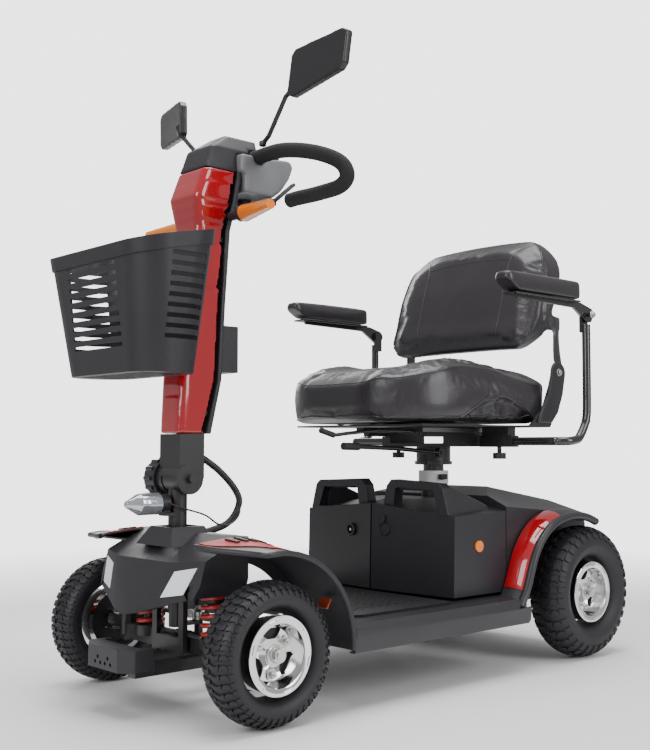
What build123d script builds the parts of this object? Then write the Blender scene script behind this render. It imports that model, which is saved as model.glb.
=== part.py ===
"""Four-wheel mobility scooter, millimetres.

The front of the scooter faces -Y, the rider's left is +X and +Z is up. The origin is on the floor, under the middle
of the whole scooter. Each sub-part is written to parts/NODE.step, and everything that stands on the left has its
mirror image on the right unless a comment says otherwise.
"""
from build123d import *
import os
from math import cos, hypot, radians, sin

os.makedirs("parts", exist_ok=True)

# ---------------------------------------------------------------- driving dimensions
WHEELBASE = 933.5           # front axle to rear axle
FRONT_AXLE_Y = -430.0
REAR_AXLE_Y = FRONT_AXLE_Y + WHEELBASE
FRONT_TYRE_R = 125.5        # 10 inch tyre
FRONT_TYRE_W = 82.0
FRONT_TRACK_HALF = 261.0
REAR_TYRE_R = 149.0         # 12 inch tyre
REAR_TYRE_W = 96.0
REAR_TRACK_HALF = 249.0
RIM_R = 70.5                # chrome rim, outside of the flange
RUNNING = 0.08              # radial clearance of a shaft in its bore
SEATED = 0.3                # gap between a piece and what carries it

STEM_Y = FRONT_AXLE_Y - 11.0    # steering axis
TILT_Z = 420.0                  # tilt hinge of the tiller
TILLER_LEAN = 5.0               # degrees that the tiller leans back
POST_Y = 282.0                  # seat post axis
POST_R = 24.0
DECK_Z = 160.0                  # top of the floor deck
MAT_T = 5.0
WALL = 3.0                      # moulded covers
ORIGIN_Y = -2.0                 # moves the datum to the middle of the whole length, when a sub-part is written


# ---------------------------------------------------------------- helpers
def block(x, y, z):
    """A box from its low and high value along each axis."""
    size = [b - a for a, b in (x, y, z)]
    middle = [(a + b) / 2 for a, b in (x, y, z)]
    return Pos(*middle) * Box(*size)


def rod(start, end, radius):
    """A round bar from one point to another."""
    a, b = Vector(*start), Vector(*end)
    return Solid.make_cylinder(radius, (b - a).length, Plane(origin=a, z_dir=b - a))


def pipe(start, end, outer, inner):
    """A round tube between two points."""
    return rod(start, end, outer) - rod(start, end, inner)


def bar(start, end, width, height):
    """A straight rectangular bar whose height stays as near to vertical as it can."""
    a, b = Vector(*start), Vector(*end)
    along = (b - a).normalized()
    side = Vector(0, 0, 1).cross(along)
    side = side.normalized() if side.length > 1e-6 else Vector(1, 0, 0)
    plane = Plane(origin=a, x_dir=side, z_dir=along)
    return extrude(plane * Rectangle(width, height), (b - a).length)


def fused(*shapes):
    """Several touching shapes as one solid."""
    whole = shapes[0]
    for shape in shapes[1:]:
        whole = whole + shape
    return whole


def faceted(x, y, z, planes, inset=0.0):
    """A box trimmed by planes, each given by three points and the middle that is kept, all moved inwards by inset."""
    body = block((x[0] + inset, x[1] - inset), (y[0] + inset, y[1] - inset), (z[0] + inset, z[1] - inset))
    inside = Vector((x[0] + x[1]) / 2, (y[0] + y[1]) / 2, (z[0] + z[1]) / 2)
    for p, q, r in planes:
        p, q, r = Vector(*p), Vector(*q), Vector(*r)
        normal = (q - p).cross(r - p).normalized()
        if normal.dot(inside - p) < 0:
            normal = -normal
        body = split(body, bisect_by=Plane(origin=p + normal * inset, z_dir=normal), keep=Keep.TOP)
    return body


def mirrored(shape):
    """The right-hand twin of a left-hand piece."""
    return mirror(shape, about=Plane.YZ)


def pair(shape):
    """A left-hand piece and its right-hand twin, as two solids."""
    return Compound(children=[*solids_of(shape), *solids_of(mirrored(shape))])


def solids_of(shape):
    return list(shape.solids())


def side_face(points):
    """A face in the YZ plane, from (y, z) corners."""
    return make_face(Polyline(*[(0, y, z) for y, z in points], close=True))


def side_prism(points, x):
    """A side profile carried across from the low to the high x."""
    return Pos(x[0], 0, 0) * extrude(side_face(points), x[1] - x[0], dir=(1, 0, 0))


def plan_prism(points, z):
    """A plan outline carried up from the low to the high z."""
    face = make_face(Polyline(*[(px, py, z[0]) for px, py in points], close=True))
    return extrude(face, z[1] - z[0], dir=(0, 0, 1))


def arch(centre, radii, angles, x, steps=18):
    """A curved strip round an axle: angles from +Y towards +Z, as many flats as steps."""
    low, high = radii
    span = [angles[0] + (angles[1] - angles[0]) * k / steps for k in range(steps + 1)]
    ring = [(centre[0] + r * cos(radians(a)), centre[1] + r * sin(radians(a)))
            for r, order in ((high, span), (low, span[::-1])) for a in order]
    return side_prism(ring, x)


def write(name, *shapes):
    """One node's STEP file, as one solid or as a group of separate ones."""
    solids = [Pos(0, ORIGIN_Y, 0) * s for shape in shapes for s in solids_of(shape)]
    export_step(solids[0] if len(solids) == 1 else Compound(children=solids), f"parts/{name}.step")


# ---------------------------------------------------------------- wheels
HUB_BORE_R = 8.0 + RUNNING
RIM_HALF_W = 34.0
DISC_X = 8.0                # outer face of the wheel disc, from the middle of the wheel
DISC_T = 7.0
DISH_R = 52.0               # the disc sits in a dish this wide
HUB_R = 20.0
HUB_OUT = 26.0
BOLT_CIRCLE_R = 33.0
BOLT_COUNT = 3
WINDOW_R = 13.0


def turned(points):
    """A ring turned about the X axis from (x, radius) corners."""
    face = make_face(Polyline(*[(x, r, 0) for x, r in points], close=True))
    return revolve(face, Axis.X)


def tyre(radius, width):
    """A tyre round the X axis, solid to its bead."""
    half, seat = width / 2, RIM_R - 6
    shoulder = radius - 14
    return turned([
        (-RIM_HALF_W + 4, seat), (RIM_HALF_W - 4, seat), (RIM_HALF_W, RIM_R + SEATED), (half - 4, RIM_R + 10),
        (half, (RIM_R + radius) / 2), (half - 3, shoulder), (half - 12, radius - 4), (half - 26, radius),
        (26 - half, radius), (12 - half, radius - 4), (3 - half, shoulder), (-half, (RIM_R + radius) / 2),
        (4 - half, RIM_R + 10), (-RIM_HALF_W, RIM_R + SEATED),
    ])


def rim():
    """Chromed wheel: barrel, dished disc with three windows, hub, and three wheel bolts as separate solids."""
    barrel = turned([
        (-RIM_HALF_W, RIM_R - 10), (-RIM_HALF_W, RIM_R), (-RIM_HALF_W + 3.6, RIM_R - 6 - SEATED),
        (RIM_HALF_W - 3.6, RIM_R - 6 - SEATED), (RIM_HALF_W, RIM_R), (RIM_HALF_W + 3, RIM_R),
        (RIM_HALF_W + 3, DISH_R), (RIM_HALF_W, DISH_R), (DISC_X, DISH_R), (DISC_X, HUB_R), (HUB_OUT, HUB_R - 2),
        (HUB_OUT, HUB_BORE_R), (-RIM_HALF_W + 8, HUB_BORE_R), (-RIM_HALF_W + 8, HUB_R),
        (DISC_X - DISC_T, HUB_R), (DISC_X - DISC_T, RIM_R - 10),
    ])
    bolts = []
    for k in range(BOLT_COUNT):
        window = radians(360 / BOLT_COUNT * (k + 0.5))
        at = radians(360 / BOLT_COUNT * k)
        barrel = barrel - rod((DISC_X - DISC_T - 1, 36 * cos(window), 36 * sin(window)),
                              (DISC_X + 1, 36 * cos(window), 36 * sin(window)), WINDOW_R)
        y, z = BOLT_CIRCLE_R * cos(at), BOLT_CIRCLE_R * sin(at)
        bolts.append(rod((DISC_X, y, z), (DISC_X + 7, y, z), 6))
    return Compound(children=[*solids_of(barrel), *[s for b in bolts for s in solids_of(b)]])


def wheel_places():
    """(name, place of the wheel's middle, tyre radius, tyre width, side) for the four wheels."""
    for side, name in ((1, "left"), (-1, "right")):
        yield f"front_{name}", (side * FRONT_TRACK_HALF, FRONT_AXLE_Y, FRONT_TYRE_R), FRONT_TYRE_R, FRONT_TYRE_W, side
        yield f"rear_{name}", (side * REAR_TRACK_HALF, REAR_AXLE_Y, REAR_TYRE_R), REAR_TYRE_R, REAR_TYRE_W, side


for name, place, radius, width, side in wheel_places():
    facing = Rot(0, 0, 0) if side > 0 else Rot(0, 0, 180)
    write(f"tyre_{name}", Pos(*place) * facing * tyre(radius, width))
    write(f"rim_{name}", Pos(*place) * facing * rim())

# ---------------------------------------------------------------- front axle, knuckles and steering linkage
KINGPIN_X = 196.0
KINGPIN_R = 6.0
BEAM_Z = 112.0              # the beam rocks about a pin at this height
BEAM_HALF = 15.0
ROCK_PIN_R = 8.0
SLEEVE_Z = (101.0, 149.0)
EAR_T = 8.0
ARM_LENGTH = 50.0           # knuckle arm and pitman arm, which makes the steering a parallelogram
ARM_Z = (141.0, 148.0)
ROD_Z = (ARM_Z[1] + SEATED, ARM_Z[1] + 8.0)
LINK_PIN_R = 4.0
ROCK_ROOM = 0.5              # room over the pitman arm for the rods to lean with the axle
OPEN_PIVOT = 3.4            # clearance of the linkage's open pivot at the pitman pin
SPRING_X = 108.0
SPRING_R = 23.0
SPRING_WIRE_R = 4.5
SPRING_Z = (BEAM_Z + BEAM_HALF + 5.0, 214.0)
SPRING_TURNS = 5


def axle_beam():
    """Square beam with a rocking sleeve in the middle, spring seats, guide posts and a fork at each end."""
    reach = KINGPIN_X - 18
    beam = block((-reach, reach), (FRONT_AXLE_Y - BEAM_HALF, FRONT_AXLE_Y + BEAM_HALF),
                 (BEAM_Z - BEAM_HALF, BEAM_Z + BEAM_HALF))
    beam = fused(beam, rod((0, FRONT_AXLE_Y - 20, BEAM_Z), (0, FRONT_AXLE_Y + 20, BEAM_Z), BEAM_HALF + 3))
    beam = beam - rod((0, FRONT_AXLE_Y - 30, BEAM_Z), (0, FRONT_AXLE_Y + 30, BEAM_Z), ROCK_PIN_R + RUNNING)
    low, high = SLEEVE_Z[0] - SEATED, SLEEVE_Z[1] + SEATED
    for side in (1, -1):
        web = sorted((side * (reach - 12), side * (KINGPIN_X - 15)))
        ears = sorted((side * (reach - 12), side * (KINGPIN_X + 2)))
        y = (FRONT_AXLE_Y - 12, FRONT_AXLE_Y + 12)
        beam = fused(
            beam,
            block(web, (FRONT_AXLE_Y - 8.5, FRONT_AXLE_Y + 8.5), (low - EAR_T, high + EAR_T)),
            block(ears, y, (low - EAR_T, low)), block(ears, y, (high, high + EAR_T)),
            rod((side * KINGPIN_X, FRONT_AXLE_Y, low - EAR_T), (side * KINGPIN_X, FRONT_AXLE_Y, low), 12),
            rod((side * KINGPIN_X, FRONT_AXLE_Y, high), (side * KINGPIN_X, FRONT_AXLE_Y, high + EAR_T), 12),
            rod((side * KINGPIN_X, FRONT_AXLE_Y, low - EAR_T - 4),
                (side * KINGPIN_X, FRONT_AXLE_Y, high + EAR_T + 4), KINGPIN_R),
            rod((side * SPRING_X, FRONT_AXLE_Y, BEAM_Z), (side * SPRING_X, FRONT_AXLE_Y, SPRING_Z[0] - SEATED), 29),
            rod((side * SPRING_X, FRONT_AXLE_Y, BEAM_Z), (side * SPRING_X, FRONT_AXLE_Y, 165), 8),
        )
    return beam


def knuckle():
    """Left steering knuckle: kingpin sleeve, stub axle with its nut, and an arm that points back to the tie rod."""
    low, high = SLEEVE_Z
    axle_z = FRONT_TYRE_R
    end = FRONT_TRACK_HALF + HUB_OUT
    body = fused(
        rod((KINGPIN_X, FRONT_AXLE_Y, low), (KINGPIN_X, FRONT_AXLE_Y, high), 13),
        rod((KINGPIN_X, FRONT_AXLE_Y, axle_z), (end + 12, FRONT_AXLE_Y, axle_z), 8.0),
        rod((KINGPIN_X, FRONT_AXLE_Y, axle_z), (FRONT_TRACK_HALF - RIM_HALF_W + 8 - SEATED, FRONT_AXLE_Y, axle_z), 14),
        rod((end + SEATED, FRONT_AXLE_Y, axle_z), (end + 9, FRONT_AXLE_Y, axle_z), 12),
        block((KINGPIN_X - 7, KINGPIN_X + 7), (FRONT_AXLE_Y, FRONT_AXLE_Y + ARM_LENGTH), ARM_Z),
        rod((KINGPIN_X, FRONT_AXLE_Y + ARM_LENGTH, ARM_Z[0]), (KINGPIN_X, FRONT_AXLE_Y + ARM_LENGTH, ARM_Z[1]), 9),
        rod((KINGPIN_X, FRONT_AXLE_Y + ARM_LENGTH, ARM_Z[0]),
            (KINGPIN_X, FRONT_AXLE_Y + ARM_LENGTH, ROD_Z[1] + 4), LINK_PIN_R),
    )
    return body - rod((KINGPIN_X, FRONT_AXLE_Y, low - 1), (KINGPIN_X, FRONT_AXLE_Y, high + 1), KINGPIN_R + RUNNING)


def tie_rod(side):
    """Tie rod from the knuckle arm to the pitman pin; the right one steps up to lie on the left one's eye."""
    outer = (side * KINGPIN_X, FRONT_AXLE_Y + ARM_LENGTH)
    inner = (0.0, STEM_Y + ARM_LENGTH)
    z = ROD_Z
    middle = (z[0] + z[1]) / 2
    step = (inner[0] + side * 28, inner[1] + (outer[1] - inner[1]) * 28 / KINGPIN_X)
    rise = 0.0 if side > 0 else z[1] - z[0] + SEATED
    eye_z = (z[0] + rise, z[1] + rise)
    body = fused(
        rod((*outer, z[0]), (*outer, z[1]), 9),
        bar((*outer, middle), (*step, middle), 10, z[1] - z[0]),
        block(sorted((step[0] - 5, step[0] + 5)), (step[1] - 5, step[1] + 5), (z[0], eye_z[1])),
        bar((*step, middle + rise), (*inner, middle + rise), 10, z[1] - z[0]),
        rod((*inner, eye_z[0]), (*inner, eye_z[1]), 12),
    )
    body = body - rod((*outer, z[0] - 1), (*outer, z[1] + 1), LINK_PIN_R + RUNNING)
    return body - rod((*inner, z[0] - 1), (*inner, eye_z[1] + 1), LINK_PIN_R + OPEN_PIVOT)


def coil_spring():
    """One red coil spring, standing on the left spring seat."""
    height = SPRING_Z[1] - SPRING_Z[0] - 2 * SPRING_WIRE_R
    path = Helix(height / SPRING_TURNS, height, SPRING_R)
    wire = sweep(Plane(origin=path @ 0, z_dir=path % 0) * Circle(SPRING_WIRE_R), path=path)
    return Pos(SPRING_X, FRONT_AXLE_Y, SPRING_Z[0] + SPRING_WIRE_R) * wire


write("axle_beam", axle_beam())
write("knuckle_left", knuckle())
write("knuckle_right", mirrored(knuckle()))
write("tie_rod_left", tie_rod(1))
write("tie_rod_right", tie_rod(-1))
write("front_springs", pair(coil_spring()))

# ---------------------------------------------------------------- front frame and bumper
STEM_SHAFT_R = 12.0
PIN_POST_Y = (27.0, 10.0)       # posts of the rocking pin: distance from the axle, and thickness
BACK_POST_Y = 71.0              # the bridge's rear posts stand behind the sweep of the tie rods
HEAD_TUBE_Z = (205.0, 300.0)
BRIDGE_Z = (HEAD_TUBE_Z[0] + 31, HEAD_TUBE_Z[0] + 37)
RAIL_X = 60.0
RAIL_Z = (70.0, 92.0)
BUMPER_Y = (-600.0, -560.0)
BUMPER_Z = (82.0, 122.0)


def front_frame():
    """Lower rails to the bumper, posts either side of the axle that hold the rocking pin, bridge and head tube."""
    out, thick = PIN_POST_Y
    front, back = FRONT_AXLE_Y - out, FRONT_AXLE_Y + out
    rear_post = FRONT_AXLE_Y + BACK_POST_Y
    body = rod((0, front - 5, BEAM_Z), (0, back + 5, BEAM_Z), ROCK_PIN_R)
    for side in (1, -1):
        post = sorted((side * 36, side * 52))
        rail = sorted((side * 36, side * 61))
        tower = (side * SPRING_X, FRONT_AXLE_Y)
        for y, top in ((front, BRIDGE_Z[1]), (back, BEAM_Z + 14), (rear_post, BRIDGE_Z[1])):
            body = fused(body, block(post, (y - thick / 2, y + thick / 2), (RAIL_Z[0], top)))
        body = fused(
            body,
            block(rail, (BUMPER_Y[1] - 10 + SEATED, -240), RAIL_Z),
            rod((*tower, SPRING_Z[1] + SEATED), (*tower, BRIDGE_Z[0]), 28),
            rod((*tower, 178), (*tower, BRIDGE_Z[0]), 14),
        )
        body = body - rod((*tower, 177), (*tower, BRIDGE_Z[0]), 10)
    for y in (front, back):
        body = fused(body, block((-48, 48), (y - thick / 2, y + thick / 2), (BEAM_Z - 14, BEAM_Z + 14)))
    bridge = block((-138, 138), (FRONT_AXLE_Y - 42, FRONT_AXLE_Y + 42), BRIDGE_Z)
    strap = block((-56, 56), (FRONT_AXLE_Y, rear_post + thick / 2), BRIDGE_Z)
    head = rod((0, STEM_Y, HEAD_TUBE_Z[0]), (0, STEM_Y, HEAD_TUBE_Z[1]), 24)
    cross = block((-61, 61), (-265, -240), (RAIL_Z[0], 118))
    body = fused(body, bridge, strap, head, cross)
    return body - rod((0, STEM_Y, HEAD_TUBE_Z[0] - 2), (0, STEM_Y, HEAD_TUBE_Z[1] + 2), STEM_SHAFT_R + RUNNING)


def front_bumper():
    """Moulded bumper: flat nose with swept ends and two clusters of three vent holes."""
    y0, y1 = BUMPER_Y
    outline = [(-50, y0), (50, y0), (78, y0 + 18), (81, y1 + 20), (64, y1 + 20), (64, y1), (-64, y1), (-64, y1 + 20),
               (-81, y1 + 20), (-78, y0 + 18)]
    body = plan_prism(outline, BUMPER_Z)
    body = fillet(body.edges().filter_by(Axis.Z), 6)
    for centre in (-17, 17):
        for dx, dz in ((-9, -4), (0, 6), (9, -4)):
            hole = rod((centre + dx, y0 - 1, 97 + dz), (centre + dx, y0 + 22, 97 + dz), 3.6)
            body = body - hole
    return body - block((-61.4, -35.6), (y1 - 10, y1 + 1), (RAIL_Z[0] - 1, RAIL_Z[1] + SEATED)) \
        - block((35.6, 61.4), (y1 - 10, y1 + 1), (RAIL_Z[0] - 1, RAIL_Z[1] + SEATED))


write("front_frame", front_frame())
write("front_bumper", front_bumper())

# ---------------------------------------------------------------- front cowl: nose, fenders and collar
FENDER_R = (171.0, 175.0)
FENDER_X = (150.0, 296.0)
FENDER_ANGLES = (-4.0, 101.0)   # from just under the rear, over the top
NOSE_X = 165.0
NOSE_Z = (172.0, 318.0)
COLLAR_Z = (296.0, 330.0)


def nose_planes():
    """The nose's facets: front shield, two reflector panels, roof and its shoulders."""
    planes = [
        ((-88, -517, 273), (88, -517, 273), (0, -561, 175)),
        ((-88, -517, 273), (88, -517, 273), (0, -441, 312)),
    ]
    for s in (1, -1):
        planes += [
            ((s * 87, -517, 273), (s * 60, -545, 200), (s * 180, -487, 285)),
            ((s * 87, -517, 273), (s * 60, -441, 311), (s * 200, -470, 287)),
            ((0, -561, 174), (s * 130, -529, 207), (0, -440, 174)),
            ((s * 152, -529, 200), (s * 165, -440, 240), (s * 140, -440, 172)),
        ]
    return planes


def front_cowl():
    """The hollow nose with its collar, and a fender over each wheel."""
    spans = (-NOSE_X, NOSE_X), (-563, -398)
    outer = faceted(*spans, NOSE_Z, nose_planes())
    inner = faceted(*spans, NOSE_Z, nose_planes(), WALL)
    body = outer - inner - block((-200, 200), (-600, -370), (150, NOSE_Z[0] + WALL + 0.5))
    body = body - block((-150, 150), (-518, -370), (150, 236)) - block((-140, 140), (-410, -390), (150, 264))
    axle = (FRONT_AXLE_Y, FRONT_TYRE_R)
    for side in (1, -1):
        x = sorted((side * FENDER_X[0], side * FENDER_X[1]))
        body = fused(body, arch(axle, FENDER_R, FENDER_ANGLES, x))
        wall = sorted((side * FENDER_X[0], side * (FENDER_X[0] - WALL)))
        sheet = arch(axle, (148.0, FENDER_R[1]), (20.0, FENDER_ANGLES[1]), wall)
        body = fused(body, sheet)
    base = [(-60, -495), (60, -495), (60, -392), (-60, -392)]
    top = [(-36, -478), (36, -478), (36, -404), (-36, -404)]
    collar = loft([plan_face(base, COLLAR_Z[0]), plan_face(top, COLLAR_Z[1])])
    bore = loft([plan_face(shrunk(base, 4), COLLAR_Z[0]), plan_face(shrunk(top, 4), COLLAR_Z[1])])
    for side in (1, -1):
        boss = rod((side * 104, FRONT_AXLE_Y, BRIDGE_Z[1] + SEATED), (side * 104, FRONT_AXLE_Y, 335), 8) & outer
        body = fused(body, boss)
    stem_hole = rod((0, STEM_Y, 250), (0, STEM_Y, 340), 27.5)
    return fused(body, collar - bore) - stem_hole


def plan_face(points, z):
    return make_face(Polyline(*[(x, y, z) for x, y in points], close=True))


def shrunk(points, by):
    """A rectangle's corners, moved inwards."""
    cx = sum(p[0] for p in points) / len(points)
    cy = sum(p[1] for p in points) / len(points)
    return [(x - by * (1 if x > cx else -1), y - by * (1 if y > cy else -1)) for x, y in points]


ACCENT_T = 2.4
ACCENT_GAP = 0.3


def front_accent():
    """Gloss panel on the crown of the left front fender, cut on the slant at its front."""
    low = FENDER_R[1] + ACCENT_GAP
    strip = arch((FRONT_AXLE_Y, FRONT_TYRE_R), (low, low + ACCENT_T), (62.0, FENDER_ANGLES[1]), (170, 268), 10)
    corner = plan_prism([(160, -470), (272, -430), (272, -520), (160, -520)], (240, 340))
    return strip - corner


def front_reflector():
    """White reflector, flat on the left reflector panel."""
    p, q, r = Vector(87, -517, 273), Vector(60, -545, 200), Vector(180, -487, 285)
    normal = (q - p).cross(r - p).normalized()
    if normal.Y > 0:
        normal = -normal
    corners = [(104.1, -515.8, 257.5), (150.5, -497.4, 265.9), (133.3, -516.7, 218.9), (86.3, -535.4, 211.8)]
    flat = [Vector(*c) - normal * (Vector(*c) - p).dot(normal) + normal * 0.2 for c in corners]
    return extrude(make_face(Polyline(*flat, close=True)), 2.0, dir=normal)


write("front_cowl", front_cowl())
write("front_accents", pair(front_accent()))
write("front_reflectors", pair(front_reflector()))

# ---------------------------------------------------------------- rear wheel opening
COVER_X = 230.0
COVER_Y = (264.0, 612.0)
COVER_Z = (DECK_Z + SEATED, 390.0)
WELL_X = 193.0
FLARE_X = (262.3, 292.0)
FLARE_T = 20.0
# edge of the rear wheel opening, (y, z) from the foot at the floor to the end over the tyre
OPENING = [(242, 140), (267, 173), (282, 215), (319, 276), (375, 315), (430, 326), (480, 322), (524, 308)]


def moved_out(points, by):
    """The same line, each point moved away from the rear axle."""
    out = []
    for y, z in points:
        d = hypot(y - REAR_AXLE_Y, z - REAR_TYRE_R)
        out.append((REAR_AXLE_Y + (y - REAR_AXLE_Y) * (d + by) / d, REAR_TYRE_R + (z - REAR_TYRE_R) * (d + by) / d))
    return out


def strip_along(points, near, far, x):
    """A strip that follows a line round the wheel, between two distances from it."""
    return side_prism([*moved_out(points, near), *moved_out(points, far)[::-1]], x)


# ---------------------------------------------------------------- floor: frame, pan, sills and mat
FRAME_RAIL_X = (100.0, 125.0)
FRAME_RAIL_Z = (118.0, 143.0)
SILL_X = (262.0, 296.0)
DECK_Y = (-250.0, 68.0)
POST_TUBE_R = 30.0
POST_TUBE_TOP = 392.0


def main_frame():
    """Welded frame under the floor, from the front cross-member to the drive, with the seat tower."""
    x0, x1 = FRAME_RAIL_X
    z0, z1 = FRAME_RAIL_Z
    body = block((-61, 61), (-240 + SEATED, -215), (RAIL_Z[0], z1))
    body = fused(body, block((-x1, x1), (-240 + SEATED, -215), (z0 - 25, z1)))
    for side in (1, -1):
        body = fused(body, block(sorted((side * x0, side * x1)), (-225, REAR_AXLE_Y - 30), (z0, z1)))
    for y in (-90, 60):
        body = fused(body, block((-249, 249), (y - 15, y + 15), (z0 + 5, z1)))
    body = fused(body, block((-x1, x1), (POST_Y - 36, POST_Y + 36), (z0, z1)))
    tower = rod((0, POST_Y, z0), (0, POST_Y, POST_TUBE_TOP), POST_TUBE_R)
    for side in (1, -1):
        brace = side_prism([(POST_Y - 4, z1 - 2), (POST_Y + 4, z1 - 2), (POST_Y + 4, 330), (POST_Y - 4, 330)], (0, 3))
        rib = plan_prism([(side * 26, POST_Y - 4), (side * 60, POST_Y - 4), (side * 60, POST_Y + 4),
                          (side * 26, POST_Y + 4)], (z1 - 2, 240))
        tower = fused(tower, rib, brace)
    return fused(body, tower) - rod((0, POST_Y, 146), (0, POST_Y, POST_TUBE_TOP + 1), POST_R + RUNNING)


def floor_pan():
    """Floor deck with a rounded sill along each side, and a step up to the battery bay."""
    y0, y1 = DECK_Y
    floor = block((-SILL_X[0], SILL_X[0]), (y0, COVER_Y[0] + 10), (DECK_Z - 4, DECK_Z))
    legs = block((-249, 249), (-105, -75), (FRAME_RAIL_Z[1] + SEATED, DECK_Z - 2))
    body = fused(floor, legs)
    for side in (1, -1):
        x0, x1 = SILL_X
        outer = [(x0 - 6, DECK_Z), (x1 - 10, DECK_Z - 2), (x1 - 2, DECK_Z - 9), (x1, DECK_Z - 22), (x1 - 3, 112),
                 (x1 - 8, 105), (x1 - 20, 105), (x1 - 20, 105 + WALL), (x1 - 9, 105 + WALL), (x1 - 6, 113),
                 (x1 - 3, DECK_Z - 22), (x1 - 5, DECK_Z - 11), (x1 - 12, DECK_Z - 5), (x0 - 6, DECK_Z - 4)]
        face = make_face(Polyline(*[(side * x, y0, z) for x, z in outer], close=True))
        body = fused(body, extrude(face, COVER_Y[0] - y0, dir=(0, 1, 0)))
        foot = strip_along(OPENING[:4], -60, FLARE_T + SEATED, sorted((side * (FLARE_X[0] - 0.2), side * 310)))
        panel = strip_along(OPENING[:4], -60, 4.6, sorted((side * (COVER_X - 0.2), side * 310)))
        body = body - foot - panel
    return body - rod((0, POST_Y, 100), (0, POST_Y, 200), POST_TUBE_R + 1.5)


def floor_mat():
    """Rubber mat on the deck, narrower towards the front."""
    y0, y1 = DECK_Y
    outline = [(-222, y0 + 6), (222, y0 + 6), (249, y0 + 60), (249, y1 - 6), (-249, y1 - 6), (-249, y0 + 60)]
    mat = plan_prism(outline, (DECK_Z + SEATED, DECK_Z + MAT_T))
    return fillet(mat.edges().filter_by(Axis.Z), 8)


write("main_frame", main_frame())
write("floor_pan", floor_pan())
write("floor_mat", floor_mat())

# ---------------------------------------------------------------- rear body
def cover_planes():
    """The facets of the rear cover's roof."""
    planes = [((0, 240, 364), (100, 240, 364), (0, 330, 389)), ((0, 330, 389), (100, 330, 389), (0, 500, 354)),
              ((0, 500, 354), (100, 500, 354), (0, 628, 290))]
    for s in (1, -1):
        planes += [((s * 140, 403, 374), (s * 228, 330, 344), (s * 205, 500, 338))]
    return planes


def rear_cover():
    """Hollow cover over the drive, with a well for each rear wheel."""
    spans = (-COVER_X, COVER_X), COVER_Y, COVER_Z
    outer = faceted(*spans, cover_planes())
    inner = faceted(*spans, cover_planes(), WALL)
    inner = inner + (block((-300, 300), (180, 700), (100, COVER_Z[0] + WALL + 1)) & faceted(
        (-COVER_X + WALL, COVER_X - WALL), (COVER_Y[0] + WALL, COVER_Y[1] - WALL), (100, 300), []))
    well_line = [(230, 60), *OPENING, (700, 308), (700, 60)]
    for side in (1, -1):
        outer = outer - side_prism(well_line, sorted((side * WELL_X, side * 320)))
        liner = side_prism([(200, 60), *moved_out(OPENING, WALL), (740, 311), (740, 60)],
                           sorted((side * (WELL_X - WALL), side * 320)))
        inner = inner - liner
    body = outer - inner
    axle = rod((-250, REAR_AXLE_Y, REAR_TYRE_R), (250, REAR_AXLE_Y, REAR_TYRE_R), 26)
    return body - axle - rod((0, POST_Y, 150), (0, POST_Y, 400), POST_TUBE_R + 1.0)


def rear_panel():
    """Gloss panel from the sill up over the front of the rear wheel opening."""
    line = OPENING[:7]
    return strip_along(line, 0.3, 4.3, (COVER_X + SEATED, FLARE_X[0] - SEATED))


def rear_flare():
    """Black lip round the rear wheel opening, which widens to a fender over the back of the wheel."""
    lip = strip_along(OPENING, 0.3, FLARE_T, FLARE_X)
    roof = strip_along(OPENING[6:], 0.3, 4.3, (COVER_X + SEATED, FLARE_X[0] + 1))
    return fused(lip, roof - block((0, 400), (0, OPENING[6][0] + 3), (0, 500)))


def tail_lamp():
    """Red lamp on the back of the cover."""
    return block((110, 175), (COVER_Y[1] + SEATED, COVER_Y[1] + 10), (225, 262))


def drive_unit():
    """Transaxle with its motor, axle tubes, and the two driven shafts."""
    y, z = REAR_AXLE_Y, REAR_TYRE_R
    inner_end = REAR_TRACK_HALF - RIM_HALF_W + 8 - SEATED
    end = REAR_TRACK_HALF + HUB_OUT
    body = fused(
        rod((-48, y, z), (48, y, z), 55), rod((-inner_end, y, z), (inner_end, y, z), 22),
        rod((-end - 12, y, z), (end + 12, y, z), 8.0),
        rod((0, y - 176, z), (0, y - 40, z), 40),
    )
    for side in (1, -1):
        mount = sorted((side * FRAME_RAIL_X[0], side * FRAME_RAIL_X[1]))
        body = fused(
            body,
            rod((side * (end + SEATED), y, z), (side * (end + 9), y, z), 12),
            block(mount, (y - 30 + SEATED, y), FRAME_RAIL_Z),
        )
    return body


def post_collar():
    """Clamping collar at the top of the seat tower."""
    z = (POST_TUBE_TOP + SEATED, 424)
    ring = pipe((0, POST_Y, z[0]), (0, POST_Y, z[1]), 35, POST_R + 0.4)
    return ring


write("rear_cover", rear_cover())
write("rear_panels", pair(rear_panel()))
write("rear_flares", pair(rear_flare()))
write("tail_lamps", pair(tail_lamp()))
write("drive_unit", drive_unit())
write("post_collar", post_collar())

# ---------------------------------------------------------------- battery packs
PACK_X = (2.0, 230.0)
PACK_Y = (72.0, 262.0)
PACK_Z = (DECK_Z + MAT_T + 1.3, 364.0)
HANDLE_Y = (90.0, 118.0)
HANDLE = [(22, 340), (34, 394), (48, 408), (188, 402), (200, 392), (216, 336)]
HANDLE_WINDOW = [(54, 346), (60, 386), (68, 391), (172, 387), (190, 340)]


def front_prism(points, y):
    """An outline in the XZ plane carried from the low to the high y."""
    return extrude(make_face(Polyline(*[(x, y[0], z) for x, z in points], close=True)), y[1] - y[0], dir=(0, 1, 0))


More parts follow.
